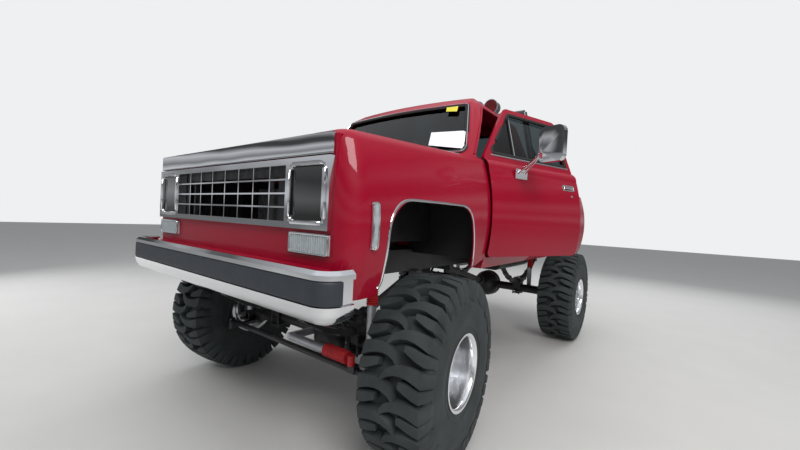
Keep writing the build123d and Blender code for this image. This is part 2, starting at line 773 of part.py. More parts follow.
with BuildPart() as bed_side:
    add(flank_block(bed_front_y, bed_rear_y, rocker_z, bed_rail_z, bed_inner_half))
    hollow = flank_block(
        bed_front_y + bed_wall,
        bed_rear_y - bed_wall,
        rocker_z - 1,
        bed_rail_z - bed_wall,
        bed_inner_half + bed_wall,
        bed_wall,
    )
    add(hollow, mode=Mode.SUBTRACT)
    add(side_prism(rear_arch, arch_radii, bed_inner_half + bed_wall, outside_x), mode=Mode.SUBTRACT)
    low_inner = (bed_inner_half - 1, bed_front_y - 1, rocker_z - 1)
    add(block(low_inner, (bed_inner_half + bed_wall + 1, bed_rear_y + 1, under_floor_z)), mode=Mode.SUBTRACT)
    # wheelhouse, open below and towards the wheel
    add(
        block(
            (wheelhouse_half, rear_axle_y - wheelhouse_y_half, under_floor_z),
            (bed_inner_half + bed_wall, rear_axle_y + wheelhouse_y_half, wheelhouse_top_z),
        )
    )
    add(
        block((wheelhouse_half, bed_front_y, under_floor_z), (bed_inner_half + 1, bed_floor_rear_y, bed_floor_z)),
    )
    house_inner = wheelhouse_y_half - panel_wall
    add(
        block(
            (wheelhouse_half + panel_wall, rear_axle_y - house_inner, rocker_z - 1),
            (bed_inner_half + bed_wall + 1, rear_axle_y + house_inner, wheelhouse_top_z - panel_wall),
        ),
        mode=Mode.SUBTRACT,
    )
    pin_hole = bar(
        (bed_inner_half - 5, gate_pin_y, gate_pin_z),
        (bed_inner_half + bed_wall + 5, gate_pin_y, gate_pin_z),
        gate_pin_radius + seat_gap,
    )
    add(pin_hole, mode=Mode.SUBTRACT)

with BuildPart() as bed:
    add(both_sides(bed_side.part))
    floor_half = wheelhouse_half + 1
    add(block((-floor_half, bed_front_y, under_floor_z), (floor_half, bed_floor_rear_y, bed_floor_z)))
    add(
        block(
            (-bed_inner_half - 1, bed_front_y, under_floor_z),
            (bed_inner_half + 1, bed_front_y + 25, bed_rail_z - bed_wall),
        )
    )
    sill_half = wheelhouse_half - 80
    for sill_share in (0.06, 0.34, 0.66, 0.9):
        y = bed_front_y + sill_share * bed_length
        add(block((-sill_half, y - 35, rail_top_z + seat_gap), (sill_half, y + 35, under_floor_z + 1)))
pieces["bed"] = bed

# Tailgate between the bed sides, on two pins at its foot
with BuildPart() as tailgate:
    gate_half = bed_inner_half - shut_gap
    add(
        block(
            (-gate_half, gate_pin_y - gate_thickness / 2, gate_pin_z - 14),
            (gate_half, gate_pin_y + gate_thickness / 2, bed_rail_z),
        )
    )
    fillet(edges().filter_by(Axis.X).group_by(Axis.Z)[-1], 12)
    fillet(edges().filter_by(Axis.X).group_by(Axis.Z)[0], 12)
    for sign in (1, -1):
        pin_start = (sign * (gate_half - 10), gate_pin_y, gate_pin_z)
        pin_end = (sign * (bed_inner_half + 16), gate_pin_y, gate_pin_z)
        add(bar(pin_start, pin_end, gate_pin_radius))
pieces["tailgate"] = tailgate

with BuildPart() as tail_lamps:
    for sign in (1, -1):
        low_x, high_x = sorted((sign * (body_half - 143), sign * (body_half - 86)))
        add(block((low_x, bed_rear_y + seat_gap, rocker_z + 330), (high_x, bed_rear_y + 22, rocker_z + 640)))
pieces["tail_lamps"] = tail_lamps

# Light bar: a hoop and two braces that stand on the bed's rails, and a row of lamps
bar_y = bed_front_y + 60.0
lamp_z = rocker_z + 1585.0
lamp_radius = 75.0
lamp_pitch = 156.0
hoop_top_z = lamp_z - lamp_radius - 30
hoop_half = roof_half + 25.0
hoop_radius = 30.0
hoop_foot_x = bed_inner_half + 64.0
foot_plate = 12.0
brace_reach = 460.0
brace_share = 0.55
with BuildPart() as light_bar:
    for sign in (1, -1):
        foot_z = bed_rail_z + foot_plate - 3
        foot = (sign * hoop_foot_x, bar_y, foot_z)
        shoulder = (sign * hoop_half, bar_y, hoop_top_z)
        joint = [a + (b - a) * brace_share for a, b in zip(foot, shoulder)]
        add(bar(foot, shoulder, hoop_radius))
        add(bar((sign * hoop_foot_x, bar_y + brace_reach, foot_z + 12), joint, 20))
        low_x, high_x = sorted((sign * (hoop_foot_x - 50), sign * (hoop_foot_x + 50)))
        for plate_y, half_y in ((bar_y, 55), (bar_y + brace_reach, 70)):
            plate_low = (low_x, plate_y - half_y, bed_rail_z + seat_gap)
            add(block(plate_low, (high_x, plate_y + half_y, bed_rail_z + foot_plate)))
    add(bar((-hoop_half - 5, bar_y, hoop_top_z), (hoop_half + 5, bar_y, hoop_top_z), hoop_radius))
    for index in range(6):
        x = (index - 2.5) * lamp_pitch
        add(bar((x, bar_y, hoop_top_z + 10), (x, bar_y, lamp_z - lamp_radius + 6), 10))
        add(bar((x, bar_y - 40, lamp_z), (x, bar_y + 45, lamp_z), lamp_radius))
pieces["light_bar"] = light_bar

with BuildPart() as lamp_covers:
    for index in range(6):
        x = (index - 2.5) * lamp_pitch
        add(bar((x, bar_y - 52, lamp_z), (x, bar_y - 40, lamp_z), lamp_radius + 1))
pieces["lamp_covers"] = lamp_covers

# Inside the cab
seat_y = cab_back_y - 80.0
seat_half = cabin_half - 232.0
seat_outline = [
    (seat_y - 540, cab_floor_z + seat_gap),
    (seat_y - 570, cab_floor_z + 330),
    (seat_y - 200, cab_floor_z + 300),
    (seat_y - 130, cab_floor_z + 820),
    (seat_y - 15, cab_floor_z + 820),
    (seat_y - 60, cab_floor_z + seat_gap),
]
with BuildPart() as seat:
    add(side_prism(seat_outline, [0, 60, 40, 45, 30, 0], -seat_half, seat_half))
pieces["seat"] = seat

column_top = (360.0, firewall_y + 390.0, cab_floor_z + 560.0)
column_bottom = (360.0, firewall_y + 60.0, cab_floor_z + 390.0)
with BuildPart() as dashboard:
    dash_half = cabin_half - 47
    dash_high = (dash_half, firewall_y + 260, belt_z - 72)
    add(block((-dash_half, cabin_front_y + seat_gap, belt_z - 230), dash_high))
    fillet(edges().filter_by(Axis.X).group_by(Axis.Z)[-1], 40)
    add(bar(column_bottom, column_top, 32))
pieces["dashboard"] = dashboard

column_run = Vector(*column_top) - Vector(*column_bottom)
column_dir = column_run.normalized()
wheel_plane = Plane(origin=Vector(*column_top) + column_dir * 30, z_dir=column_dir)
with BuildPart() as steering_wheel:
    with Locations(Location(wheel_plane)):
        Torus(200, 14)
        Cylinder(55, 26)
        Box(390, 40, 12)
    add(bar(Vector(*column_top) + column_dir * seat_gap, wheel_plane.origin, 20))
pieces["steering_wheel"] = steering_wheel

# Frame: two channel rails, crossmembers, spring hangers and shock brackets
rail_front_y = nose_y + 20.0
rail_rear_y = rear_bumper_y - 8.0 - seat_gap
rail_bottom_z = rail_top_z - rail_height
perch_z = axle_z + 62.0
leaf_count = 4
eye_z = perch_z + (leaf_count - 1) * leaf + spring_rise + 10
eye_radius = 20.0
hanger_gap = 0.8
cross_table = [
    # y behind the front axle, low and high above the rocker
    (-640.0, -25.0, 35.0),
    (230.0, -60.0, -42.0),
    (1400.0, -15.0, 45.0),
    (2020.0, -15.0, 45.0),
    (2880.0, -15.0, 45.0),
    (3780.0, -15.0, 45.0),
]
shock_table = [
    # x, y behind the axle, axle's place, foot height, top height
    (650.0, -144.0, front_axle_y, axle_z + 30, rocker_z + 150),
    (530.0, 130.0, rear_axle_y, axle_z + 30, rocker_z + 60),
]
gearbox_y = front_axle_y + 1150.0

def frame_rail(sign):
    """Channel rail of one side with its bumper arm, spring hangers, shock brackets and body mounts."""
    outer = sign * rail_half
    inner = sign * (rail_half - rail_flange)
    web = sign * (rail_half - rail_wall)
    with BuildPart() as solid:
        with BuildSketch(across(rail_front_y)):
            with BuildLine():
                Polyline(
                    (outer, rail_top_z),
                    (inner, rail_top_z),
                    (inner, rail_top_z - rail_wall),
                    (web, rail_top_z - rail_wall),
                    (web, rail_bottom_z + rail_wall),
                    (inner, rail_bottom_z + rail_wall),
                    (inner, rail_bottom_z),
                    (outer, rail_bottom_z),
                    close=True,
                )
            make_face()
        extrude(amount=-(rail_rear_y - rail_front_y))
        # bumper arm
        low_x, high_x = sorted((outer, web))
        arm_y = bumper_front_y + 26 + seat_gap
        add(block((low_x, arm_y, rocker_z - 30), (high_x, rail_front_y + 80, rocker_z + 40)))
        # spring hangers: two cheeks under a cap
        for axle_y in (front_axle_y, rear_axle_y):
            for end in (-1, 1):
                y = axle_y + end * spring_half_length
                cheek = spring_width / 2 + hanger_gap
                for low, high in ((-cheek - 8, -cheek), (cheek, cheek + 8)):
                    low_x, high_x = sorted((sign * spring_x + low, sign * spring_x + high))
                    add(block((low_x, y - 35, eye_z - 32), (high_x, y + 35, rail_bottom_z)))
                cap = (sign * spring_x - cheek - 8, y - 35, rail_bottom_z - 10)
                add(block(cap, (sign * spring_x + cheek + 8, y + 35, rail_bottom_z + 1)))
                for low, high in ((-cheek - 1, -6), (6, cheek + 1)):
                    start = (sign * spring_x + low, y, eye_z)
                    add(bar(start, (sign * spring_x + high, y, eye_z), 8))
        # shock brackets
        for x, y, axle_y, foot_z, top_z in shock_table:
            low_x, high_x = sorted((sign * (rail_half - 2), sign * (x + 36)))
            bracket_y = axle_y + y
            add(block((low_x, bracket_y - 36, top_z + seat_gap), (high_x, bracket_y + 36, top_z + 12)))
            low_x, high_x = sorted((sign * rail_half, sign * (rail_half - 8)))
            add(block((low_x, bracket_y - 60, rail_top_z - 60), (high_x, bracket_y + 60, top_z + 12)))
        # body mounts
        for y in (front_axle_y + 760, front_axle_y + 1700):
            low = (sign * 400, y, rail_top_z - 1)
            add(bar(low, (sign * 400, y, cab_floor_z - cab_floor_thickness - seat_gap), 26))
    return solid


pieces["rail_left"] = frame_rail(1)
pieces["rail_right"] = frame_rail(-1)

with BuildPart() as crossmembers:
    web_half = rail_half - rail_wall
    for y, low, high in cross_table:
        cross_y = front_axle_y + y
        add(block((-web_half, cross_y, rocker_z + low), (web_half, cross_y + 70, rocker_z + high)))
    # dropped crossmember under the gearbox
    drop_low = rocker_z - 118.0 - seat_gap
    add(block((-rail_half, gearbox_y, drop_low), (rail_half, gearbox_y + 70, drop_low + 28)))
    for sign in (1, -1):
        low_x, high_x = sorted((sign * rail_half, sign * (rail_half - 50)))
        add(block((low_x, gearbox_y, drop_low), (high_x, gearbox_y + 70, rail_bottom_z)))
pieces["crossmembers"] = crossmembers


# Springs: an arched pack whose leaves shorten downwards, with an eye at each end
def leaf_z(y, index):
    """Height of the underside of a leaf at y from the axle."""
    radius = (spring_half_length**2 + spring_rise**2) / (2 * spring_rise)
    base = perch_z + (leaf_count - 1 - index) * leaf
    return base + radius - sqrt(radius**2 - y**2)


with BuildPart() as leaf_springs:
    for sign in (1, -1):
        for axle_y in (front_axle_y, rear_axle_y):
            for index, share in enumerate((0.985, 0.8, 0.58, 0.36)):
                half = spring_half_length * share
                with BuildSketch(Plane.YZ.offset(sign * spring_x - spring_width / 2)):
                    with BuildLine():
                        end_z = leaf_z(half, index)
                        middle_z = leaf_z(0, index)
                        first, last = (axle_y - half, end_z), (axle_y + half, end_z)
                        top_first, top_last = (first[0], end_z + leaf), (last[0], end_z + leaf)
                        ThreePointArc(first, (axle_y, middle_z), last)
                        Line(last, top_last)
                        ThreePointArc(top_last, (axle_y, middle_z + leaf), top_first)
                        Line(top_first, first)
                    make_face()
                extrude(amount=spring_width)
            for end in (-1, 1):
                eye = (axle_y + end * spring_half_length, eye_z)
                half = spring_width / 2
                add(bar((sign * spring_x - half, *eye), (sign * spring_x + half, *eye), eye_radius, 8 + seat_gap))
pieces["leaf_springs"] = leaf_springs


# Axles
def along(start, end, distance):
    """Point at a distance from start towards end."""
    run = Vector(*end) - Vector(*start)
    return Vector(*start) + run.normalized() * distance


tube_radius = 45.0
yoke_x = 700.0
yoke_half = 95.0
ear = 25.0
transfer_y = front_axle_y + 1080.0
transfer_length = 250.0
front_output = (240.0, transfer_y, rocker_z - 30)
rear_output = (0.0, transfer_y + transfer_length, rocker_z - 50)
front_pinion = (240.0, front_axle_y, axle_z)
rear_pinion = (0.0, rear_axle_y, axle_z)
pinion_reach = 280.0


def spring_perch(sign, axle_y):
    """Block that carries a spring on its axle tube."""
    low_x, high_x = sorted((sign * (spring_x - 36), sign * (spring_x + 36)))
    return block((low_x, axle_y - 60, axle_z), (high_x, axle_y + 60, perch_z - seat_gap))


def shock_foot(sign, row):
    """Arm from the axle tube that carries a shock's foot."""
    x, y, axle_y, foot_z, top_z = row
    low_x, high_x = sorted((sign * (x - 30), sign * (x + 30)))
    low_y, high_y = sorted((axle_y, axle_y + y * 1.2))
    return block((low_x, low_y, foot_z - 30), (high_x, high_y, foot_z - seat_gap))


with BuildPart() as front_axle:
    add(bar((-yoke_x, front_axle_y, axle_z), (yoke_x, front_axle_y, axle_z), tube_radius))
    with Locations(front_pinion):
        Sphere(150)
    add(bar(front_pinion, along(front_pinion, front_output, pinion_reach), 50))
    for sign in (1, -1):
        low_x, high_x = sorted((sign * (yoke_x - 40), sign * yoke_x))
        yoke_low = (low_x, front_axle_y - 45, axle_z - yoke_half)
        add(block(yoke_low, (high_x, front_axle_y + 45, axle_z + yoke_half)))
        for ear_z in (axle_z + yoke_half - ear, axle_z - yoke_half):
            low_x, high_x = sorted((sign * (yoke_x - 40), sign * kingpin_x))
            add(block((low_x, front_axle_y - 35, ear_z), (high_x, front_axle_y + 35, ear_z + ear)))
            add(upright(sign * kingpin_x, front_axle_y, ear_z, ear_z + ear, 35))
        add(spring_perch(sign, front_axle_y))
        add(shock_foot(sign, shock_table[0]))
pieces["front_axle"] = front_axle

spindle_radius = 28.0
spindle_end_x = 940.0
with BuildPart() as rear_axle:
    add(bar((-780, rear_axle_y, axle_z), (780, rear_axle_y, axle_z), 50))
    for sign in (1, -1):
        stub = (sign * 779, rear_axle_y, axle_z)
        add(bar(stub, (sign * spindle_end_x, rear_axle_y, axle_z), spindle_radius))
        add(spring_perch(sign, rear_axle_y))
        add(shock_foot(sign, shock_table[1]))
    with Locations(rear_pinion):
        Sphere(165)
    add(bar(rear_pinion, along(rear_pinion, rear_output, pinion_reach), 55))
pieces["rear_axle"] = rear_axle


# Knuckles: ears over and under the axle's yoke, a web, a spindle and the steering arms
knuckle_ear = 24.0
knuckle_top = axle_z + yoke_half + seat_gap + knuckle_ear
knuckle_low = axle_z - yoke_half - seat_gap - knuckle_ear
web_near = 42.0
web_far = 62.0


def knuckle(sign):
    """Steered hub carrier of one side; the left one also has the drag link's arm."""
    x = sign * kingpin_x
    web = sign * (kingpin_x + web_far)
    with BuildPart() as solid:
        for low in (knuckle_top - knuckle_ear, knuckle_low):
            add(upright(x, front_axle_y, low, low + knuckle_ear, 40))
            low_x, high_x = sorted((x, web))
            add(block((low_x, front_axle_y - 35, low), (high_x, front_axle_y + 35, low + knuckle_ear)))
        low_x, high_x = sorted((sign * (kingpin_x + web_near), web))
        add(block((low_x, front_axle_y - 60, knuckle_low), (high_x, front_axle_y + 60, knuckle_top)))
        spindle_end = (sign * spindle_end_x, front_axle_y, axle_z)
        add(bar((web - sign, front_axle_y, axle_z), spindle_end, spindle_radius))
        # tie rod arm, below and ahead
        arm_low = (x - 20, front_axle_y - tie_arm, knuckle_low)
        add(block(arm_low, (x + 20, front_axle_y, knuckle_low + knuckle_ear)))
        add(upright(x, front_axle_y - tie_arm, knuckle_low, knuckle_low + knuckle_ear, 26))
        if sign > 0:
            ball_x = kingpin_x - drag_arm
            arm_low = (ball_x, front_axle_y - 22, knuckle_top - 1)
            add(block(arm_low, (kingpin_x, front_axle_y + 22, knuckle_top + 22)))
            add(upright(kingpin_x, front_axle_y, knuckle_top - 1, knuckle_top + 22, 36))
            add(upright(ball_x, front_axle_y, knuckle_top - 1, knuckle_top + 22, 24))
    return solid


pieces["knuckle_left"] = knuckle(1)
pieces["knuckle_right"] = knuckle(-1)

tie_z = axle_z - 60.0
tie_y = front_axle_y - tie_arm
bracket_x = 600.0
with BuildPart() as tie_rod:
    add(bar((-kingpin_x + 10, tie_y, tie_z), (kingpin_x - 10, tie_y, tie_z), 19))
    for sign in (1, -1):
        add(upright(sign * kingpin_x, tie_y, knuckle_low + knuckle_ear + seat_gap, tie_z + 22, 25))
    add(block((bracket_x - 25, tie_y - 25, tie_z - 10), (bracket_x + 25, tie_y + 25, tie_z + 32)))
pieces["tie_rod"] = tie_rod

# Steering damper: a tube on an axle bracket and a booted rod towards the tie rod's bracket
damper_y = front_axle_y - 272.0
damper_z = axle_z + 12.0
damper_inner_x = 84.0
damper_length = 320.0
damper_bore = 9.0
with BuildPart() as steering_damper:
    inner = (damper_inner_x, damper_y, damper_z)
    outer = (damper_inner_x + damper_length, damper_y, damper_z)
    add(bar(inner, outer, 25))
    bore_start = (damper_inner_x + 20, damper_y, damper_z)
    add(bar(bore_start, (outer[0] + 1, damper_y, damper_z), damper_bore), mode=Mode.SUBTRACT)
    bracket_low = (damper_inner_x - 24, damper_y - 22, damper_z - 22)
    add(block(bracket_low, (damper_inner_x + 1, front_axle_y - tube_radius - seat_gap, damper_z + 22)))
pieces["steering_damper"] = steering_damper

with BuildPart() as damper_rod:
    add(bar((damper_inner_x + 160, damper_y, damper_z), (bracket_x, damper_y, damper_z), damper_bore - 0.4))
    boot_start = damper_inner_x + damper_length - 15
    add(bar((boot_start, damper_y, damper_z), (bracket_x - 25, damper_y, damper_z), 34, 30))
    add(bar((bracket_x - 45, damper_y, damper_z), (bracket_x - 25, damper_y, damper_z), 34))
    add(upright(bracket_x, damper_y, damper_z - 36, damper_z + 22, 22))
pieces["damper_rod"] = damper_rod

# Steering box, drop arm and drag link
drop_y = front_axle_y - 350.0
drop_pin_z = rail_top_z - rail_height / 2
drop_x = rail_half + 70.0
link_front = (drop_x + 36, drop_y, drop_pin_z - drop_arm)
link_rear = (kingpin_x - drag_arm, front_axle_y, knuckle_top + 60)
with BuildPart() as steering_box:
    box_low = (rail_half + seat_gap, drop_y - 80, drop_pin_z - 50)
    add(block(box_low, (drop_x - 14 - seat_gap, drop_y + 80, drop_pin_z + 70)))
pieces["steering_box"] = steering_box

with BuildPart() as pitman_arm:
    add(bar((drop_x - 14, drop_y, drop_pin_z), (drop_x + 14, drop_y, drop_pin_z), 34))
    add(block((drop_x - 11, drop_y - 20, link_front[2]), (drop_x + 11, drop_y + 20, drop_pin_z)))
    add(bar((drop_x - 11, *link_front[1:]), (drop_x + 11, *link_front[1:]), 24))
pieces["pitman_arm"] = pitman_arm

with BuildPart() as drag_link:
    add(bar(link_front, link_rear, 15))
    add(bar((drop_x + 11 + seat_gap, *link_front[1:]), (drop_x + 58, *link_front[1:]), 24))
    add(upright(link_rear[0], link_rear[1], link_rear[2] - 24, link_rear[2] + 24, 22))
pieces["drag_link"] = drag_link

# Shocks: a silver tube below and a red boot above, on the front and rear axles
boot_share = 0.55
with BuildPart() as shocks:
    for x, y, axle_y, foot_z, top_z in shock_table:
        split_z = foot_z + (top_z - foot_z) * (1 - boot_share)
        for sign in (1, -1):
            add(upright(sign * x, axle_y + y, foot_z, split_z - seat_gap, 27))
pieces["shocks"] = shocks

with BuildPart() as shock_boots:
    for x, y, axle_y, foot_z, top_z in shock_table:
        split_z = foot_z + (top_z - foot_z) * (1 - boot_share)
        for sign in (1, -1):
            add(upright(sign * x, axle_y + y, split_z, top_z, 36))
pieces["shock_boots"] = shock_boots

# Engine, gearbox, shafts, exhaust and tanks
engine_half = 290.0
engine_low_z = rocker_z - 42.0 + seat_gap
engine_rear_y = front_axle_y + 480.0
with BuildPart() as engine:
    engine_high = (engine_half, engine_rear_y, rocker_z + 480)
    add(block((-engine_half, front_axle_y - 330, engine_low_z), engine_high))
    chamfer(edges().filter_by(Axis.Y).group_by(Axis.Z)[0], 110)
pieces["engine"] = engine

shaft_radius = 32.0
with BuildPart() as drivetrain:
    gearbox_z = rocker_z + 10
    add(bar((0, engine_rear_y + seat_gap, gearbox_z), (0, transfer_y + 5, gearbox_z), 85))
    case_low = (-110, transfer_y, rocker_z - 90)
    add(block(case_low, (290, transfer_y + transfer_length, rocker_z + 100)))
    start = along(front_pinion, front_output, pinion_reach + seat_gap)
    add(bar(start, along(front_output, front_pinion, -20), shaft_radius))
    start = along(rear_pinion, rear_output, pinion_reach + seat_gap)
    add(bar(start, along(rear_output, rear_pinion, -20), shaft_radius))
pieces["drivetrain"] = drivetrain

pipe_radius = 27.0
pipe_x = 335.0
pipe_z = rocker_z - 50.0
with BuildPart() as exhaust:
    for sign in (1, -1):
        x = sign * pipe_x
        port = (sign * (engine_half + 35), front_axle_y + 240, rocker_z + 180)
        bend = (x, front_axle_y + 420, pipe_z)
        muffler_y = front_axle_y + 1520
        low_x, high_x = sorted((sign * (engine_half + seat_gap), sign * (engine_half + 60)))
        add(block((low_x, front_axle_y - 150, rocker_z + 150), (high_x, front_axle_y + 260, rocker_z + 210)))
        add(bar(port, bend, pipe_radius))
        with Locations(bend):
            Sphere(pipe_radius)
        add(bar(bend, (x, muffler_y + 5, pipe_z), pipe_radius))
        muffler_low, muffler_high = sorted((sign * 215, sign * 360))
        add(block((muffler_low, muffler_y, pipe_z - 60), (muffler_high, muffler_y + 440, pipe_z + 30)))
        add(bar((x, muffler_y + 430, pipe_z), (x, muffler_y + 780, pipe_z), pipe_radius))
pieces["exhaust"] = exhaust

with BuildPart() as fuel_tanks:
    for sign in (1, -1):
        low_x, high_x = sorted((sign * (rail_half + seat_gap), sign * (rail_half + 330)))
        add(block((low_x, front_axle_y + 1500, rocker_z - 110), (high_x, front_axle_y + 2300, rocker_z + 62)))
    fillet(edges().filter_by(Axis.Y), 50)
pieces["fuel_tanks"] = fuel_tanks


# Wheels: each rim carries its hub and brake, and each tyre sits on the bead seats
def wheel_plane_at(sign, y):
    """Plane at a wheel's centre whose X points outboard and whose Y points up."""
    return Plane(origin=(sign * track_half, y, axle_z), x_dir=(sign, 0, 0), z_dir=(0, -sign, 0))


def tyre_carcass():
    """Tyre round the origin, standing across X, lofted through its section's corners."""
    edge = rim_width / 2 - rim_wall - seat_gap
    outboard_section = [
        # distance from the middle, radius
        (edge, flange_radius + 4),
        (tyre_width / 2, flange_radius + 130),
        (tread_width / 2, tread_base),
    ]
    section = [(-x, radius) for x, radius in outboard_section] + outboard_section[::-1]
    with BuildPart() as carcass:
        for x, radius in section:
            with BuildSketch(Plane.YZ.offset(x)):
                RegularPolygon(radius, tyre_sides)
        loft(ruled=True)
        with BuildSketch(Plane.YZ.offset(-edge)):
            RegularPolygon(bead_radius + seat_gap, tyre_sides, major_radius=False)
        extrude(amount=2 * edge, mode=Mode.SUBTRACT)
    return carcass.part


def lug(side):
    """Slanted lug on one side of the tread, with its foot down the sidewall."""
    with BuildPart() as solid:
        with BuildSketch(Plane.XY.offset(-lug_length / 2)):
            with BuildLine():
                Polyline(
                    (side * 14, tread_base - 20),
                    (side * 14, tyre_radius),
                    (side * (tread_width / 2 - 6), tyre_radius),
                    (side * (tyre_width / 2 - 5), tyre_radius - 80),
                    (side * tread_width / 2, tyre_radius - 84),
                    close=True,
                )
            make_face()
        extrude(amount=lug_length, dir=Vector(-side * lug_slant, 0, 1))
    return solid.part


with BuildPart() as tyre_form:
    add(tyre_carcass())
    for side, turn in ((1, 0.0), (-1, 180.0 / lug_count)):
        add([lug(side).rotate(Axis.X, turn + 360.0 / lug_count * i) for i in range(lug_count)])


def rim(sign, y, brake_radius, brake_length):
    """Deep-dish rim with its disc, hub and brake."""
    half = rim_width / 2
    spin = Axis((0, y, axle_z), (1, 0, 0))
    disc_x = -disc_inset
    barrel = bead_radius - rim_wall
    with BuildPart() as solid:
        with BuildSketch(wheel_plane_at(sign, y)):
            with BuildLine():
                Polyline(
                    (-half, flange_radius),
                    (-half + rim_wall, flange_radius),
                    (-half + rim_wall, bead_radius),
                    (half - rim_wall, bead_radius),
                    (half - rim_wall, flange_radius),
                    (half, flange_radius),
                    (half, barrel),
                    (-half, barrel),
                    close=True,
                )
            make_face()
            with BuildLine():
                Polyline(
                    (disc_x, barrel + 1),
                    (disc_x + 12, barrel + 1),
                    (disc_x + 12, 60),
                    (disc_x + 95, 58),
                    (disc_x + 95, 0),
                    (-45, 0),
                    (-45, 28 + seat_gap),
                    (disc_x - 25, 28 + seat_gap),
                    (disc_x - 25, 84),
                    (disc_x, 84),
                    close=True,
                )
            make_face()
            with BuildLine():
                Polyline(
                    (disc_x - 24, 60),
                    (disc_x - 24, brake_radius),
                    (disc_x - 24 - brake_length, brake_radius),
                    (disc_x - 24 - brake_length, 60),
                    close=True,
                )
            make_face()
        revolve(axis=spin)
    return solid


wheel_table = [
    # name, side, axle's place, brake radius, brake length
    ("front_left", 1, front_axle_y, 150.0, 20.0),
    ("front_right", -1, front_axle_y, 150.0, 20.0),
    ("rear_left", 1, rear_axle_y, 165.0, 60.0),
    ("rear_right", -1, rear_axle_y, 165.0, 60.0),
]
for name, sign, y, brake_radius, brake_length in wheel_table:
    with BuildPart() as tyre:
        add(tyre_form.part.moved(Location((sign * track_half, y, axle_z))))
    pieces["tyre_" + name] = tyre
    pieces["rim_" + name] = rim(sign, y, brake_radius, brake_length)

# The steering stands turned left: each piece is moved as its joint moves it
swing = radians(steer_rest)
rod_shift = (tie_arm * sin(swing), tie_arm * (1 - cos(swing)), 0)
link_shift = (0, -drag_arm * sin(swing), drag_arm * (1 - cos(swing)))
solids = {label: piece.part for label, piece in pieces.items()}
for side, sign in (("left", 1), ("right", -1)):
    kingpin = Axis((sign * kingpin_x, front_axle_y, 0), (0, 0, 1))
    for label in ("knuckle_" + side, "tyre_front_" + side, "rim_front_" + side):
        solids[label] = solids[label].rotate(kingpin, steer_rest)
solids["tie_rod"] = solids["tie_rod"].moved(Location(rod_shift))
solids["damper_rod"] = solids["damper_rod"].moved(Location((rod_shift[0], 0, 0)))
pitman_pin = Axis((0, drop_y, drop_pin_z), (-1, 0, 0))
solids["pitman_arm"] = solids["pitman_arm"].rotate(pitman_pin, steer_rest)
solids["drag_link"] = solids["drag_link"].moved(Location(link_shift))
column_axis = Axis(wheel_plane.origin, column_dir)
solids["steering_wheel"] = solids["steering_wheel"].rotate(column_axis, steer_rest * steer_ratio)

# The open door's mirror stands out further, so all moves sideways until the width is centred
left_edge = solids["mirror_left"].bounding_box().max.X
right_edge = solids["mirror_right"].bounding_box().min.X
centring = Location((-(left_edge + right_edge) / 2, 0, 0))
for label, solid in solids.items():
    placed = solid.moved(centring)
    placed.label = label
    export_step(placed, f"parts/{label}.step")
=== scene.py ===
import math

import bmesh
import bpy
from mathutils import Matrix, Vector
from mathutils.bvhtree import BVHTree


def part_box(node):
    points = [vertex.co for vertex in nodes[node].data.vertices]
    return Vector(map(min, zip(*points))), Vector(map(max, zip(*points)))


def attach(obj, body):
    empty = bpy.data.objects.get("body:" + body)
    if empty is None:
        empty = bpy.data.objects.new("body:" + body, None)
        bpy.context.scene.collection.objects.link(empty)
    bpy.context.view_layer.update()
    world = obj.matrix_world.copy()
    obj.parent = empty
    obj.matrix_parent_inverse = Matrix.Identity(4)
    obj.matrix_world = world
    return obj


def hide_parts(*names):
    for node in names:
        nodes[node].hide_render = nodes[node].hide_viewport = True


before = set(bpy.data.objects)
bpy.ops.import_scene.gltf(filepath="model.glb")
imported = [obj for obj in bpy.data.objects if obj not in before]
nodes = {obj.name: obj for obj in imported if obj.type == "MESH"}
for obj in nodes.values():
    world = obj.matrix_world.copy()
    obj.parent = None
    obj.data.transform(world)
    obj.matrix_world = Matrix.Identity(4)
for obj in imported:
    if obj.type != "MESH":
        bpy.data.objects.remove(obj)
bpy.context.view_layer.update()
tau = 2 * math.pi

# Sizes shared with the solids, in metres, but for the wheelbase in mm
length = 4.859
front_overhang = 0.848
rocker = 1.004
front_y = front_overhang - length / 2
wheelbase = 2985
rear_y = front_y + wheelbase / 1000
axle_z = 0.512
track_half = 0.995
kingpin_x = 0.760
steer_turn = math.radians(6.0)
door_ajar = math.radians(20.0)
tyre_r = 0.512
cab_low, cab_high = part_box("cab")
mid_x = (cab_low[0] + cab_high[0]) / 2


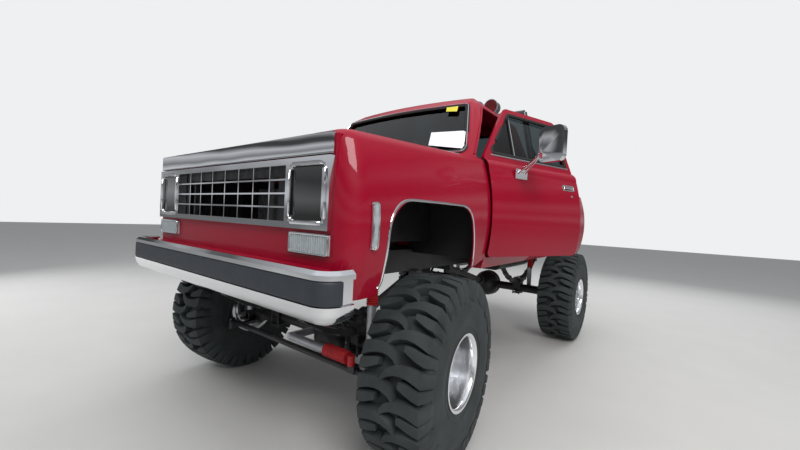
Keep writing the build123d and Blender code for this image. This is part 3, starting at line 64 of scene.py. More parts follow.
# Materials: one small builder, with noise for colour, roughness and fine relief
def material(name, color, rough, metallic=0.0, coat=0.0, noise=0.0, scale=20.0, bump=0.0, bump_scale=None,
             bump_detail=4.0, rough_noise=0.0, second=None, transmission=0.0, ior=1.5, sheen=0.0,
             specular=0.5):
    mat = bpy.data.materials.new(name)
    mat.use_nodes = True
    nt = mat.node_tree
    shader = nt.nodes["Principled BSDF"]
    shader.inputs["Roughness"].default_value = rough
    shader.inputs["Metallic"].default_value = metallic
    shader.inputs["Coat Weight"].default_value = coat
    shader.inputs["Coat Roughness"].default_value = 0.03
    shader.inputs["Transmission Weight"].default_value = transmission
    shader.inputs["IOR"].default_value = ior
    shader.inputs["Sheen Weight"].default_value = sheen
    shader.inputs["Specular IOR Level"].default_value = specular
    shader.inputs["Base Color"].default_value = (*color, 1)
    coords = nt.nodes.new("ShaderNodeTexCoord")

    def noise_node(size, detail=4.0):
        node = nt.nodes.new("ShaderNodeTexNoise")
        node.inputs["Scale"].default_value = size
        node.inputs["Detail"].default_value = detail
        nt.links.new(coords.outputs["Object"], node.inputs["Vector"])
        return node.outputs["Fac"]

    if noise:
        ramp = nt.nodes.new("ShaderNodeMapRange")
        ramp.inputs["From Min"].default_value = 0.3
        ramp.inputs["From Max"].default_value = 0.7
        nt.links.new(noise_node(scale), ramp.inputs["Value"])
        mix = nt.nodes.new("ShaderNodeMix")
        mix.data_type = "RGBA"
        dark = second or tuple(c * (1 - noise) for c in color)
        light = color if second else tuple(min(1.0, c * (1 + noise)) for c in color)
        mix.inputs["A"].default_value = (*dark, 1)
        mix.inputs["B"].default_value = (*light, 1)
        nt.links.new(ramp.outputs["Result"], mix.inputs["Factor"])
        nt.links.new(mix.outputs["Result"], shader.inputs["Base Color"])
    if rough_noise:
        ramp = nt.nodes.new("ShaderNodeMapRange")
        ramp.inputs["To Min"].default_value = max(0.0, rough - rough_noise)
        ramp.inputs["To Max"].default_value = rough + rough_noise
        nt.links.new(noise_node(scale * 0.6), ramp.inputs["Value"])
        nt.links.new(ramp.outputs["Result"], shader.inputs["Roughness"])
    if bump:
        node = nt.nodes.new("ShaderNodeBump")
        node.inputs["Strength"].default_value = 1.0
        node.inputs["Distance"].default_value = bump
        nt.links.new(noise_node(bump_scale or scale * 3, bump_detail), node.inputs["Height"])
        nt.links.new(node.outputs["Normal"], shader.inputs["Normal"])
    return mat


red = material("body_red", (0.29, 0.0008, 0.018), 0.45, coat=0.5, noise=0.05, scale=1.5, specular=0.12,
               bump=0.00012, bump_scale=60)
chrome = material("chrome", (0.76, 0.77, 0.79), 0.07, metallic=1.0, rough_noise=0.03, scale=6,
                  bump=0.0035, bump_scale=5, bump_detail=0.0)
rubber = material("tyre_rubber", (0.032, 0.040, 0.041), 0.72, noise=0.4, scale=9, rough_noise=0.12,
                  second=(0.018, 0.023, 0.024), bump=0.0006, bump_scale=180)
polished = material("polished_rim", (0.92, 0.93, 0.95), 0.20, metallic=1.0, rough_noise=0.06, scale=12)
black_paint = material("frame_black", (0.018, 0.018, 0.020), 0.38, noise=0.3, scale=12, rough_noise=0.12,
                       bump=0.0003, bump_scale=150)
spring_black = material("spring_black", (0.030, 0.030, 0.032), 0.45, noise=0.3, scale=14, rough_noise=0.1)
silver = material("silver_paint", (0.42, 0.43, 0.46), 0.33, metallic=0.55, noise=0.08, scale=18)
boot_red = material("boot_red", (0.42, 0.012, 0.016), 0.5, noise=0.2, scale=30, bump=0.0002, bump_scale=300)
pad_slate = material("pad_slate", (0.022, 0.027, 0.036), 0.55, noise=0.15, scale=25, bump=0.0003,
                     bump_scale=500)
smoked = material("smoked_cover", (0.006, 0.007, 0.008), 0.06, coat=1.0, noise=0.6, scale=3,
                  second=(0.012, 0.013, 0.010))
lens_grey = material("lens_grey", (0.36, 0.40, 0.42), 0.22, coat=0.6, noise=0.12, scale=40)
lens_red = material("lens_red", (0.34, 0.006, 0.008), 0.15, coat=1.0, noise=0.2, scale=60)
lamp_red = material("lamp_cover_red", (0.11, 0.006, 0.008), 0.25, coat=0.8, noise=0.25, scale=20)
tube_grey = material("bar_black", (0.05, 0.05, 0.055), 0.3, noise=0.15, scale=20, coat=0.4)
drive_dark = material("drive_dark", (0.05, 0.05, 0.055), 0.5, noise=0.3, scale=15, rough_noise=0.1)
cast = material("cast_iron", (0.07, 0.07, 0.075), 0.7, noise=0.35, scale=30, bump=0.001, bump_scale=90)
steel = material("dull_steel", (0.42, 0.40, 0.38), 0.42, metallic=0.9, noise=0.25, scale=14, rough_noise=0.15)
trim_black = material("trim_black", (0.018, 0.018, 0.020), 0.6, noise=0.2, scale=60, bump=0.0003,
                      bump_scale=700)
cloth = material("seat_cloth", (0.06, 0.055, 0.055), 0.9, noise=0.3, scale=300, bump=0.0006, bump_scale=900,
                 sheen=0.3)
glass = material("tinted_glass", (0.040, 0.056, 0.060), 0.0, transmission=1.0, ior=1.45, noise=0.04, scale=2)
seal = material("rubber_seal", (0.012, 0.012, 0.013), 0.65, noise=0.2, scale=80)

painted = (
    (red, "bed cab door_left door_right fenders hood nose_panel tailgate valance"),
    (black_paint, "crossmembers front_axle front_panels fuel_tanks rail_left rail_right rear_axle"),
    (black_paint, "knuckle_left knuckle_right tie_rod pitman_arm drag_link"),
    (chrome, "front_bumper grille mirror_left mirror_right rear_bumper"),
    (glass, "cab_glass door_glass_left door_glass_right"),
    (trim_black, "dashboard steering_wheel"), (silver, "shocks steering_damper"),
    (boot_red, "shock_boots damper_rod"), (cast, "engine steering_box"), (pad_slate, "bumper_pad"),
    (drive_dark, "drivetrain"), (steel, "exhaust"), (smoked, "headlamp_covers"), (lamp_red, "lamp_covers"),
    (lens_grey, "lamp_lenses"), (lens_red, "tail_lamps"), (spring_black, "leaf_springs"),
    (tube_grey, "light_bar"), (cloth, "seat"),
)
node_material = {name: mat for mat, names in painted for name in names.split()}
corners = ("front_left", "front_right", "rear_left", "rear_right")
for corner in corners:
    node_material["tyre_" + corner] = rubber
    node_material["rim_" + corner] = polished


def smooth(obj, angle=35.0):
    """Smooth shading with sharp edges kept above an angle."""
    for polygon in obj.data.polygons:
        polygon.use_smooth = True
    split = obj.modifiers.new("sharp", "EDGE_SPLIT")
    split.split_angle = math.radians(angle)


for name, obj in nodes.items():
    obj.data.materials.clear()
    obj.data.materials.append(node_material[name])
    weld = obj.modifiers.new("weld", "WELD")
    weld.merge_threshold = 0.0001
    smooth(obj)


# Mesh helpers
def mesh_object(name, verts, faces, mat, body, angle):
    """Piece of the visual model, smooth, on its body and with its material."""
    mesh = bpy.data.meshes.new(name)
    mesh.from_pydata([tuple(v) for v in verts], [], faces)
    mesh.validate()
    build = bmesh.new()
    build.from_mesh(mesh)
    bmesh.ops.remove_doubles(build, verts=build.verts, dist=0.00002)
    bmesh.ops.recalc_face_normals(build, faces=build.faces)
    build.to_mesh(mesh)
    build.free()
    obj = bpy.data.objects.new(name, mesh)
    bpy.context.scene.collection.objects.link(obj)
    mesh.materials.append(mat)
    smooth(obj, angle)
    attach(obj, body)
    return obj


class Batch:
    """Collects vertices and faces of many small forms for one piece."""

    def __init__(self):
        self.verts, self.faces = [], []

    def add(self, verts, faces):
        base = len(self.verts)
        self.verts += [Vector(v) for v in verts]
        self.faces += [tuple(i + base for i in face) for face in faces]

    def sweep(self, path, section, closed_path=False):
        """section(i) gives the ring of points at step i of the path's count."""
        count = len(path)
        rings = [section(i) for i in range(count)]
        width = len(rings[0])
        verts = [v for ring in rings for v in ring]
        faces = []
        steps = count if closed_path else count - 1
        for i in range(steps):
            for j in range(width):
                a, b = i * width + j, i * width + (j + 1) % width
                c, d = ((i + 1) % count) * width + (j + 1) % width, ((i + 1) % count) * width + j
                faces.append((a, b, c, d))
        if not closed_path:
            faces.append(tuple(range(width - 1, -1, -1)))
            faces.append(tuple((count - 1) * width + j for j in range(width)))
        self.add(verts, faces)

    def tube(self, path, radius, sides=12):
        """Round tube along points."""
        points = [Vector(p) for p in path]
        count = len(points)
        frames = []
        up = None
        for i in range(count):
            tangent = (points[min(i + 1, count - 1)] - points[max(i - 1, 0)]).normalized()
            if up is None:
                up = Vector((0, 0, 1)) if abs(tangent.z) < 0.9 else Vector((1, 0, 0))
            side = tangent.cross(up).normalized()
            up = side.cross(tangent).normalized()
            frames.append((side, up))

        def ring(i):
            side, upward = frames[i]
            turns = [tau * k / sides for k in range(sides)]
            return [points[i] + side * (radius * math.cos(t)) + upward * (radius * math.sin(t))
                    for t in turns]

        self.sweep(points, ring)

    def revolve(self, profile, place, segments=48, closed=True):
        """Ring of (axial, radius) points turned about place's X axis."""
        verts = []
        for i in range(segments):
            t = tau * i / segments
            for x, r in profile:
                verts.append(place @ Vector((x, r * math.cos(t), r * math.sin(t))))
        n = len(profile)
        faces = []
        for i in range(segments):
            k = (i + 1) % segments
            for j in range(n if closed else n - 1):
                m = (j + 1) % n
                faces.append((i * n + j, i * n + m, k * n + m, k * n + j))
        self.add(verts, faces)

    def box(self, low, high, bevel=0.0, place=None):
        """Box with chamfered edges along its three directions."""
        build = bmesh.new()
        bmesh.ops.create_cube(build, size=1.0)
        for v in build.verts:
            v.co = Vector([low[k] + (v.co[k] + 0.5) * (high[k] - low[k]) for k in range(3)])
        if bevel:
            bmesh.ops.bevel(build, geom=list(build.edges), offset=bevel, segments=2, affect="EDGES",
                            profile=0.7)
        build.verts.ensure_lookup_table()
        build.verts.index_update()
        verts = [(place @ v.co) if place else v.co.copy() for v in build.verts]
        faces = [tuple(v.index for v in f.verts) for f in build.faces]
        build.free()
        self.add(verts, faces)

    def ribbon(self, points, normals, width, height, closed=False, sink=0.002):
        """Strip along points with rounded shoulders, standing height proud of the surface."""
        count = len(points)
        sides = []
        for i in range(count):
            before = points[i - 1] if (i or closed) else points[0]
            after = points[(i + 1) % count] if (i < count - 1 or closed) else points[-1]
            sides.append((after - before).normalized().cross(normals[i]).normalized())
        shape = [(-0.5, -sink), (-0.5, height * 0.45), (-0.38, height * 0.85), (-0.15, height),
                 (0.15, height), (0.38, height * 0.85), (0.5, height * 0.45), (0.5, -sink)]

        def ring(i):
            return [points[i] + sides[i] * (width * a) + normals[i] * h for a, h in shape]

        self.sweep(points, ring, closed_path=closed)

    def make(self, name, mat, body, slot=None, angle=35.0):
        return mesh_object(name, self.verts, self.faces, mat, body, angle)


def wheel_place(corner):
    """Matrix of a wheel: X outboard, at its centre."""
    sign = 1 if corner.endswith("left") else -1
    outboard = Matrix.Rotation(0 if sign > 0 else math.pi, 4, "Z")
    if corner.startswith("rear"):
        return Matrix.Translation((mid_x + sign * track_half, rear_y, axle_z)) @ outboard
    kingpin = Matrix.Translation((mid_x + sign * kingpin_x, front_y, axle_z))
    spindle = Matrix.Translation((sign * (track_half - kingpin_x), 0, 0))
    return kingpin @ Matrix.Rotation(steer_turn, 4, "Z") @ spindle @ outboard


# Tyres: a smooth carcass and curved hooked lugs whose ends run down the shoulders
tread_half = 0.165
carcass_r = 0.462
pitches = 20
lug_pitch = tau / pitches
lug_root, lug_edge, lug_flare = 0.004, 0.004, 0.007
# Half of the carcass from its bead over the shoulder to the middle, as (axial, radius), and its crown
side_x = 0.188
carcass_half = [(0.170, 0.1908), (0.170, 0.212), (0.175, 0.224), (0.181, 0.255), (side_x - 0.001, 0.296),
                (side_x, 0.332), (side_x - 0.003, 0.374), (side_x - 0.009, 0.412), (0.172, 0.440),
                (0.156, 0.454), (0.122, 0.4600), (0.070, carcass_r), (0.0, carcass_r + 0.001)]
carcass_profile = carcass_half + [(-x, r) for x, r in reversed(carcass_half[:-1])]
crown = carcass_half[:5:-1]
# Lugs as rows of (x across the tread, angle in pitches, half width in radians)
long_lug = ((-0.047, 0.62, 0.026), (-0.033, 0.40, 0.034), (-0.009, 0.24, 0.042), (0.023, 0.14, 0.047),
            (0.061, 0.10, 0.052), (0.099, 0.12, 0.057), (0.132, 0.17, 0.064), (0.157, 0.22, 0.068),
            (0.166, 0.24, 0.068))
short_lug = ((0.058, 0.50, 0.030), (0.080, 0.53, 0.040), (0.104, 0.58, 0.048), (0.132, 0.64, 0.052),
             (0.158, 0.68, 0.054), (0.166, 0.69, 0.054))
# Their ends down the sidewall, each row with the radii of its top and its base too
long_end = ((0.166, 0.24, 0.066, 0.4995, 0.438), (0.176, 0.25, 0.063, 0.478, 0.416),
            (0.1855, 0.26, 0.058, 0.444, 0.392), (0.1872, 0.27, 0.053, 0.420, 0.386))
short_end = ((0.166, 0.69, 0.052, 0.4995, 0.438), (0.177, 0.70, 0.048, 0.474, 0.416),
             (0.185, 0.71, 0.043, 0.449, 0.402))


def surface_r(x):
    """Radius of the lugs' tops at x across the tread."""
    return tyre_r - 0.010 * (x / tread_half) ** 2 - 0.0008


def carcass_surface(x):
    """Radius of the carcass at x across the tread."""
    a = abs(x)
    for (x0, r0), (x1, r1) in zip(crown, crown[1:]):
        if a <= x1:
            return r0 + (r1 - r0) * (a - x0) / (x1 - x0)
    return crown[-1][1]


def lug(batch, place, side, start, rows):
    """One lug from its rows; without radii, it runs from inside the carcass to the tread's top."""
    n = len(rows)
    flare = lug_flare / tyre_r
    verts = []
    for x, turns, w, *radii in rows:
        rt, rb = radii or (surface_r(x), carcass_surface(x) - lug_root)
        for dt, r in ((-w - flare, rb), (-w, rt - lug_edge), (-w + lug_edge, rt), (w - lug_edge, rt),
                      (w, rt - lug_edge), (w + flare, rb)):
            a = start + turns * lug_pitch + dt
            verts.append(place @ Vector((side * x, r * math.cos(a), r * math.sin(a))))
    faces = []
    m = 6
    for i in range(n - 1):
        for j in range(m):
            k = (j + 1) % m
            faces.append((i * m + j, i * m + k, (i + 1) * m + k, (i + 1) * m + j))
    faces.append(tuple(range(m)))
    faces.append(tuple((n - 1) * m + j for j in range(m - 1, -1, -1)))
    batch.add(verts, faces)


def tyre(corner):
    place = wheel_place(corner)
    body = Batch()
    body.revolve(carcass_profile, place, 96)
    # Rings on the sidewall
    for side in (1, -1):
        for r, x, size in ((0.246, 0.1800, 0.003), (0.310, 0.1870, 0.002), (0.398, 0.1820, 0.0025)):
            ring = [(side * (x + size * math.cos(a) - 0.001), r + 2 * size * math.sin(a))
                    for a in [tau * k / 8 for k in range(8)]]
            body.revolve(ring, place, 96)
    for index in range(pitches):
        for side in (1, -1):
            start = lug_pitch * (index + (0.5 if side < 0 else 0.0))
            for rows in (long_lug, long_end, short_lug, short_end):
                lug(body, place, side, start, rows)
    piece = body.make("tyre_detail_" + corner, rubber, "wheel_" + corner, "tyre", angle=50)
    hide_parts("tyre_" + corner)


# Rims: profiles of (axial, radius) with the drop centre, the hub, one nut and one hole with its lip
rim_profile = [
    (-0.178, 0.2075), (-0.171, 0.2082), (-0.1695, 0.192), (-0.150, 0.1902), (-0.02, 0.186), (0.150, 0.1902),
    (0.1695, 0.192), (0.171, 0.2082), (0.1765, 0.2088), (0.1785, 0.204), (0.1765, 0.1965), (0.170, 0.190),
    (0.158, 0.1855), (0.120, 0.1835), (0.030, 0.1815), (-0.060, 0.1800), (-0.092, 0.1770), (-0.103, 0.168),
    (-0.106, 0.150), (-0.104, 0.128), (-0.098, 0.108), (-0.094, 0.094), (-0.094, 0.060), (-0.096, 0.0585),
    (-0.115, 0.0585), (-0.117, 0.100), (-0.118, 0.170), (-0.120, 0.1825), (-0.178, 0.1835),
]
hub = [(-0.140, 0.084), (-0.140, 0.0285), (-0.020, 0.0285), (-0.020, 0.0), (-0.018, 0.0), (-0.018, 0.040),
       (-0.022, 0.052), (-0.030, 0.0578), (-0.095, 0.0585), (-0.097, 0.062), (-0.116, 0.084)]
nut = [(-0.098, 0.0), (-0.098, 0.013), (-0.092, 0.013), (-0.080, 0.0105), (-0.072, 0.0095), (-0.070, 0.006),
       (-0.070, 0.0)]
hole = [(-0.112, 0.0), (-0.112, 0.016), (-0.1035, 0.0165), (-0.1025, 0.014), (-0.106, 0.0125), (-0.110, 0.0)]
nut_circle, hole_circle = 0.083, 0.140
# Brakes behind the rims: discs in front and drums at the back, as (radius, depth)
brake_face = -0.139
disc, drum = (0.150, 0.020), (0.165, 0.060)


def rim(corner):
    place = wheel_place(corner)
    body = Batch()
    body.revolve(rim_profile, place, 96)
    body.revolve(hub, place, 48)
    brake_r, brake_l = disc if corner.startswith("front") else drum
    brake_back = brake_face - brake_l
    body.revolve([(brake_face, 0.060), (brake_face, brake_r), (brake_back, brake_r), (brake_back, 0.060)],
                 place, 48)
    for k in range(8):
        turn = place @ Matrix.Rotation(tau * k / 8, 4, "X")
        body.revolve(nut, turn @ Matrix.Translation((0, 0, nut_circle)), 6)
        body.revolve(hole, turn @ Matrix.Translation((0, 0, hole_circle)), 20)
    piece = body.make("rim_detail_" + corner, polished, "wheel_" + corner, "rim", angle=40)
    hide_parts("rim_" + corner)


for corner in corners:
    tyre(corner)
    rim(corner)

# Points on the vehicle, and strips cast onto its surfaces by rays that start at these places, in mm
front_start, cab_rear_start, tail_start, flank_start, door_start = -1200, 2300, 4300, 1300, 1250
near_double = 1.5
axle_height = -492
# How far in metres a ray lands behind the rest of its strip when it has slipped past the edge of a pane
slipped_depth = 0.45


def at(x, y, z):
    """Place in metres from mm: X from the vehicle's middle, Y from the front axle, Z above the rocker."""
    return Vector((mid_x + x / 1000, front_y + y / 1000, rocker + z / 1000))


def surface(*names):
    """Tree of the named nodes' faces, for casting rays at them."""
    verts, faces = [], []
    for name in names:
        base = len(verts)
        mesh = nodes[name].data
        verts += [v.co.copy() for v in mesh.vertices]
        faces += [tuple(i + base for i in polygon.vertices) for polygon in mesh.polygons]
    return BVHTree.FromPolygons(verts, faces)


def project(tree, points, direction):
    """Points moved along direction onto the surface, with its normals; a miss takes the place before it."""
    direction = Vector(direction)
    places, normals = [], []
    for point in points:
        place, normal = tree.ray_cast(point, direction)[:2]
        if place is None:
            place = places[-1] if places else point
            normal = normals[-1] if normals else -direction
        if normal.dot(direction) > 0:
            normal = -normal
        places.append(place)
        normals.append(normal)
    return places, normals


def rounded(corner_points, radius, steps=6, gap=40.0):
    """Closed outline of 2D points with rounded corners and points every gap along its sides."""
    count = len(corner_points)
    turns = []
    for i in range(count):
        here = Vector(corner_points[i])
        to_last = Vector(corner_points[i - 1]) - here
        to_next = Vector(corner_points[(i + 1) % count]) - here
        r = radius[i] if isinstance(radius, (list, tuple)) else radius
        reach = min(r / math.tan(to_last.angle(to_next) / 2), to_last.length * 0.48, to_next.length * 0.48)
        turns.append((here + to_last.normalized() * reach, here, here + to_next.normalized() * reach))
    result = []
    for i, (start, here, end) in enumerate(turns):
        for k in range(steps + 1):
            t = k / steps
            result.append(start * (1 - t) ** 2 + here * 2 * t * (1 - t) + end * t * t)
        following = turns[(i + 1) % count][0]
        parts = max(1, round((following - end).length / gap))
        result += [end.lerp(following, k / parts) for k in range(1, parts)]
    return result


def spread(points, gap=30.0):
    """Open line of points every gap or less."""
    result = []
    for a, b in zip(points, points[1:]):
        a, b = Vector(a), Vector(b)
        count = max(1, int((b - a).length / gap))
        result += [a + (b - a) * (k / count) for k in range(count)]
    return result + [Vector(points[-1])]


def clean_outline(points):
    """Rounded outline's points without near doubles."""
    kept = []
    for point in points:
        if not kept or (point - kept[-1]).length > near_double:
            kept.append(point)
    return kept


def frame_strip(batch, tree, outline, direction, start, width, height, closed=True, sink=0.002):
    """Strip round a 2D outline cast onto a surface; start(point) gives the ray's origin."""
    ahead = Vector(direction)
    places, normals = project(tree, [start(point) for point in clean_outline(outline)], ahead)
    # A ray that slips past the edge of a pane takes the depth of the point before it
    depths = [place.dot(ahead) for place in places]
    middle = sorted(depths)[len(depths) // 2]
    for i, depth in enumerate(depths):
        if depth - middle > slipped_depth:
            depths[i] = depths[i - 1] if i else middle
            places[i] = places[i] + ahead * (depths[i] - depth)
            normals[i] = normals[i - 1] if i else -ahead
    batch.ribbon(places, normals, width, height, closed=closed, sink=sink)


front_tree = surface("cab", "cab_glass")
nose_tree = surface("nose_panel", "grille", "headlamp_covers", "valance")
flank_left = surface("fenders", "bed", "cab")
flank_right = surface("fenders", "bed", "cab", "door_right")


def from_front(point):
    return at(point[0], front_start, point[1])


def from_behind(point):
    return at(point[0], tail_start, point[1])


def facing_out(place, normal):
    """Matrix at a place on a surface, with X along its normal."""
    return Matrix.Translation(place) @ Vector(normal).to_track_quat("X", "Z").to_matrix().to_4x4()


# Windows: black rubber seals, and a thin chrome strip round the windscreen
screen = [(-805, 836), (-653, 1278), (653, 1278), (805, 836)]
seal_batch = Batch()
frame_strip(seal_batch, front_tree, rounded(screen, 45), (0, 1, 0), from_front, 0.040, 0.009)
rear_window = [(-560, 850), (-520, 1240), (520, 1240), (560, 850)]
frame_strip(seal_batch, front_tree, rounded(rear_window, 45), (0, -1, 0),
            lambda point: at(point[0], cab_rear_start, point[1]), 0.034, 0.008)
seal_batch.make("window_seals", seal, "body", "trim")
strip = Batch()
inner_screen = [(-812, 831), (-659, 1284), (659, 1284), (812, 831)]
frame_strip(strip, front_tree, rounded(inner_screen, 50), (0, 1, 0), from_front, 0.008, 0.013, sink=-0.006)
strip.make("windscreen_strip", chrome, "body", "chrome")

# Wheel arch lips: a thin bright edge round each opening, from its rear foot over to its front foot
arch_shape = [(503, -38), (353, 418), (-450, 412), (-462, 18), (-520, -38)]
arch_line = [p for p in rounded(arch_shape, [0.1, 160, 190, 60, 0.1], steps=10) if p[1] > -30]
rear_foot = max(range(len(arch_line)), key=lambda i: arch_line[i][0])
arch_line = arch_line[rear_foot:] + arch_line[:rear_foot]
lips = Batch()
for tree, sign in ((flank_left, 1), (flank_right, -1)):
    for axle, foot_z in ((0.0, 22.0), (wheelbase, 8.0)):
        line = [p + (p - Vector((0, 130))).normalized() * 7 for p in arch_line]
        line = clean_outline([p for p in line if p[1] > (foot_z if p[0] > 0 else -22)])
        origins = [at(sign * flank_start, axle + p[0], p[1]) for p in line]
        places, normals = project(tree, origins, (-sign, 0, 0))
        lips.ribbon(places, normals, 0.013, 0.005)
lips.make("arch_lips", chrome, "body", "chrome")

# Nose: chrome frames round the covers, an upper moulding, park lamp rims and ribs
nose_trim = Batch()
park_tree = surface("nose_panel", "lamp_lenses")
for sign in (1, -1):
    cover = [(sign * x, z) for x, z in ((620, 285), (620, 545), (865, 545), (865, 285))]
    frame_strip(nose_trim, nose_tree, rounded(cover, 26, gap=60), (0, 1, 0), from_front, 0.020, 0.010)
    park = [(sign * x, z) for x, z in ((624, 149), (624, 235), (884, 235), (884, 149))]
    frame_strip(nose_trim, park_tree, rounded(park, 10, gap=60), (0, 1, 0), from_front, 0.011, 0.007)
nose_trim.box(at(-893, -724, 580), at(893, -700.5, 676), bevel=0.010)
nose_trim.make("nose_trim", chrome, "body", "chrome")
ribs = Batch()
for sign in (1, -1):
    for k in range(17):
        x = sign * (632 + k * 15.3)
        ribs.box(at(x - 3.2, -717.5, 153), at(x + 3.2, -713.5, 231), bevel=0.0016)
ribs.make("park_lamp_ribs", lens_grey, "body", "lens")

# Marker lamps' rims on the fenders
marker_rims = Batch()
lamp_left = surface("fenders", "lamp_lenses")
for sign in (1, -1):
    rim_line = [(-580, 185), (-580, 387), (-545, 387), (-545, 185)]
    frame_strip(marker_rims, lamp_left, rounded(rim_line, 17, gap=30), (-sign, 0, 0),
                lambda point: at(sign * flank_start, point[0], point[1]), 0.009, 0.005)
marker_rims.make("marker_rims", chrome, "body", "chrome")

# Doors: seals round the glass, a vent glass divider, a belt strip, handles and locks
door_pin = at(974, 596, 0)
swing = Matrix.Translation(door_pin) @ Matrix.Rotation(-door_ajar, 4, "Z") @ Matrix.Translation(-door_pin)
door_turn = {"left": swing, "right": Matrix.Identity(4)}
door_parts = {side: surface("door_" + side, "door_glass_" + side) for side in ("left", "right")}
side_window = [(732, 842), (1046, 1208), (1636, 1208), (1660, 842)]
for side, sign in (("left", 1), ("right", -1)):
    turn = door_turn[side]
    inward = turn.to_3x3() @ Vector((-sign, 0, 0))

    def beside(point):
        return turn @ at(sign * door_start, point[0], point[1])

    body = "door_" + side
    rubber_strips = Batch()
    window_line = rounded(side_window, [30, 50, 40, 30])
    frame_strip(rubber_strips, door_parts[side], window_line, inward, beside, 0.026, 0.007)
    divider = spread([(1010, 846), (1052, 1205)])
    frame_strip(rubber_strips, door_parts[side], divider, inward, beside, 0.020, 0.012, closed=False)
    rubber_strips.make("door_seals_" + side, seal, body, "trim")
    bright = Batch()
    frame_strip(bright, door_parts[side], spread([(724, 824), (1668, 824)], 60), inward, beside, 0.012, 0.007,
                closed=False)
    frame_strip(bright, door_parts[side], spread([(1010, 850), (1051, 1200)]), inward, beside, 0.008, 0.015,
                closed=False)
    # Handle: a recessed cup's rim, a paddle and its push button, and the lock below
    handle = rounded([(1500, 628), (1500, 668), (1650, 668), (1650, 628)], 16, gap=25)
    frame_strip(bright, door_parts[side], handle, inward, beside, 0.010, 0.006)
    places, normals = project(door_parts[side], [beside((y, 649)) for y in range(1508, 1612, 8)], inward)
    lifted = [p + n * 0.010 for p, n in zip(places, normals)]
    bright.ribbon(lifted, normals, 0.022, 0.007, sink=0.004)
    for y, z, radius in ((1626, 649, 0.014), (1610, 580, 0.010)):
        (place,), (normal,) = project(door_parts[side], [beside((y, z))], inward)
        button = [(-0.002, 0), (-0.002, radius), (0.006, radius), (0.009, radius * 0.8), (0.009, 0)]
        bright.revolve(button, facing_out(place, normal), 20)
    bright.make("door_brightwork_" + side, chrome, body, "chrome")

# Drip rails over the doors
rails = Batch()
for sign in (1, -1):
    tree = surface("cab", "door_right") if sign < 0 else surface("cab")
    line = spread([(640, 815), (1006, 1268), (1710, 1272), (1724, 1240)], 25)
    origins = [at(sign * door_start, p[0], p[1]) for p in line]
    places, normals = project(tree, origins, (-sign, 0, 0))
    rails.ribbon(places, normals, 0.011, 0.012)
rails.make("drip_rails", red, "body", "body_paint")

# Roof lamps: bright rims, dished covers with ribs, and domed backs
lamp_trim, lamp_grilles, lamp_backs = Batch(), Batch(), Batch()
lamp_count, lamp_step, lamp_y, lamp_z = 6, 156, 1977, 1585
for index in range(lamp_count):
    x = (index - (lamp_count - 1) / 2) * lamp_step
    facing = Matrix.Translation(at(x, lamp_y, lamp_z)) @ Matrix.Rotation(-math.pi / 2, 4, "Z")
    lamp_trim.revolve([(0.034, 0.0762), (0.034, 0.079), (0.040, 0.0815), (0.048, 0.0815), (0.054, 0.078),
                       (0.054, 0.073), (0.050, 0.0762)], facing, 48)
    lamp_backs.revolve([(0.030, 0.0755), (-0.030, 0.0755), (-0.052, 0.069), (-0.070, 0.050), (-0.078, 0.026),
                        (-0.080, 0.0)], facing, 40, closed=False)
    for k in range(-3, 4):
        half = math.sqrt(0.070 ** 2 - (k * 0.019) ** 2)
        rib = facing @ Matrix.Translation((0.052, 0, k * 0.019))
        lamp_grilles.box((0, -half, -0.003), (0.005, half, 0.003), bevel=0.0012, place=rib)
lamp_trim.make("lamp_rims", chrome, "body", "chrome")
lamp_grilles.make("lamp_cover_ribs", lamp_red, "body", "lamp_cover")
lamp_backs.make("lamp_backs", tube_grey, "body", "bar_paint")

# Rear bumper: bolts with their washers, and a raised tread
bolts = Batch()
bolt_r, bolt_h = 0.011, 0.008
washer = [(-0.002, 0), (-0.002, bolt_r * 1.5), (0.0015, bolt_r * 1.5), (0.002, bolt_r)]
bolt_head = [(0.001, 0), (0.001, bolt_r), (bolt_h * 0.8, bolt_r), (bolt_h, bolt_r * 0.8), (bolt_h, 0)]
bumper_tree = surface("rear_bumper")
for x in (-820, -440, 440, 820):
    for z in (-20, 60):
        (place,), (normal,) = project(bumper_tree, [from_behind((x, z))], (0, -1, 0))
        bolts.revolve(washer, facing_out(place, normal), 20, closed=False)
        bolts.revolve(bolt_head, facing_out(place, normal), 6)
bolts.make("bumper_bolts", chrome, "body", "chrome")
tread = Batch()
tread_end, tread_step, tread_gap = 855, 30, 40
for row in range(3):
    for k, x in enumerate(range(-tread_end, tread_end + 1, tread_step)):
        if abs(x + 8) > tread_gap:
            middle = at(x + (tread_step / 2 if row % 2 else 0), 3946 + row * 22, 115)
            angle = math.radians(35 if (k + row) % 2 else -35)
            turned = Matrix.Translation(middle) @ Matrix.Rotation(angle, 4, "Z")
            tread.box((-0.011, -0.002, -0.001), (0.011, 0.002, 0.0022), bevel=0.0009, place=turned)
tread.make("rear_bumper_tread", chrome, "body", "chrome")

# Suspension: bellows over the shocks and folds on the damper's boot
bellows = Batch()
shock_foot, bare_share = axle_height + 30, 0.45
for x, y, axle, top in ((650, -144, 0, 150), (530, 130, wheelbase, 60)):
    split = shock_foot + (top - shock_foot) * bare_share
    for sign in (1, -1):
        place = Matrix.Translation(at(sign * x, axle + y, split)) @ Matrix.Rotation(-math.pi / 2, 4, "Y")
        high = (top - split) / 1000
        count = int(high / 0.0125)
        profile = [(0.0, 0.0), (0.0, 0.029)]
        for k in range(count * 4 + 1):
            t = k / 4
            profile.append((0.002 + (high - 0.004) * k / (count * 4), 0.0315 + 0.0042 * math.cos(tau * t)))
        profile += [(high, 0.029), (high, 0.0)]
        bellows.revolve(profile, place, 32, closed=False)
piece = bellows.make("shock_bellows", boot_red, "body", "boot", angle=60)
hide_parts("shock_boots")
boot_end, boot_length, boot_r, folds, fold_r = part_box("damper_rod")[1][0] - 0.047, 0.184, 0.0335, 13, 0.0052
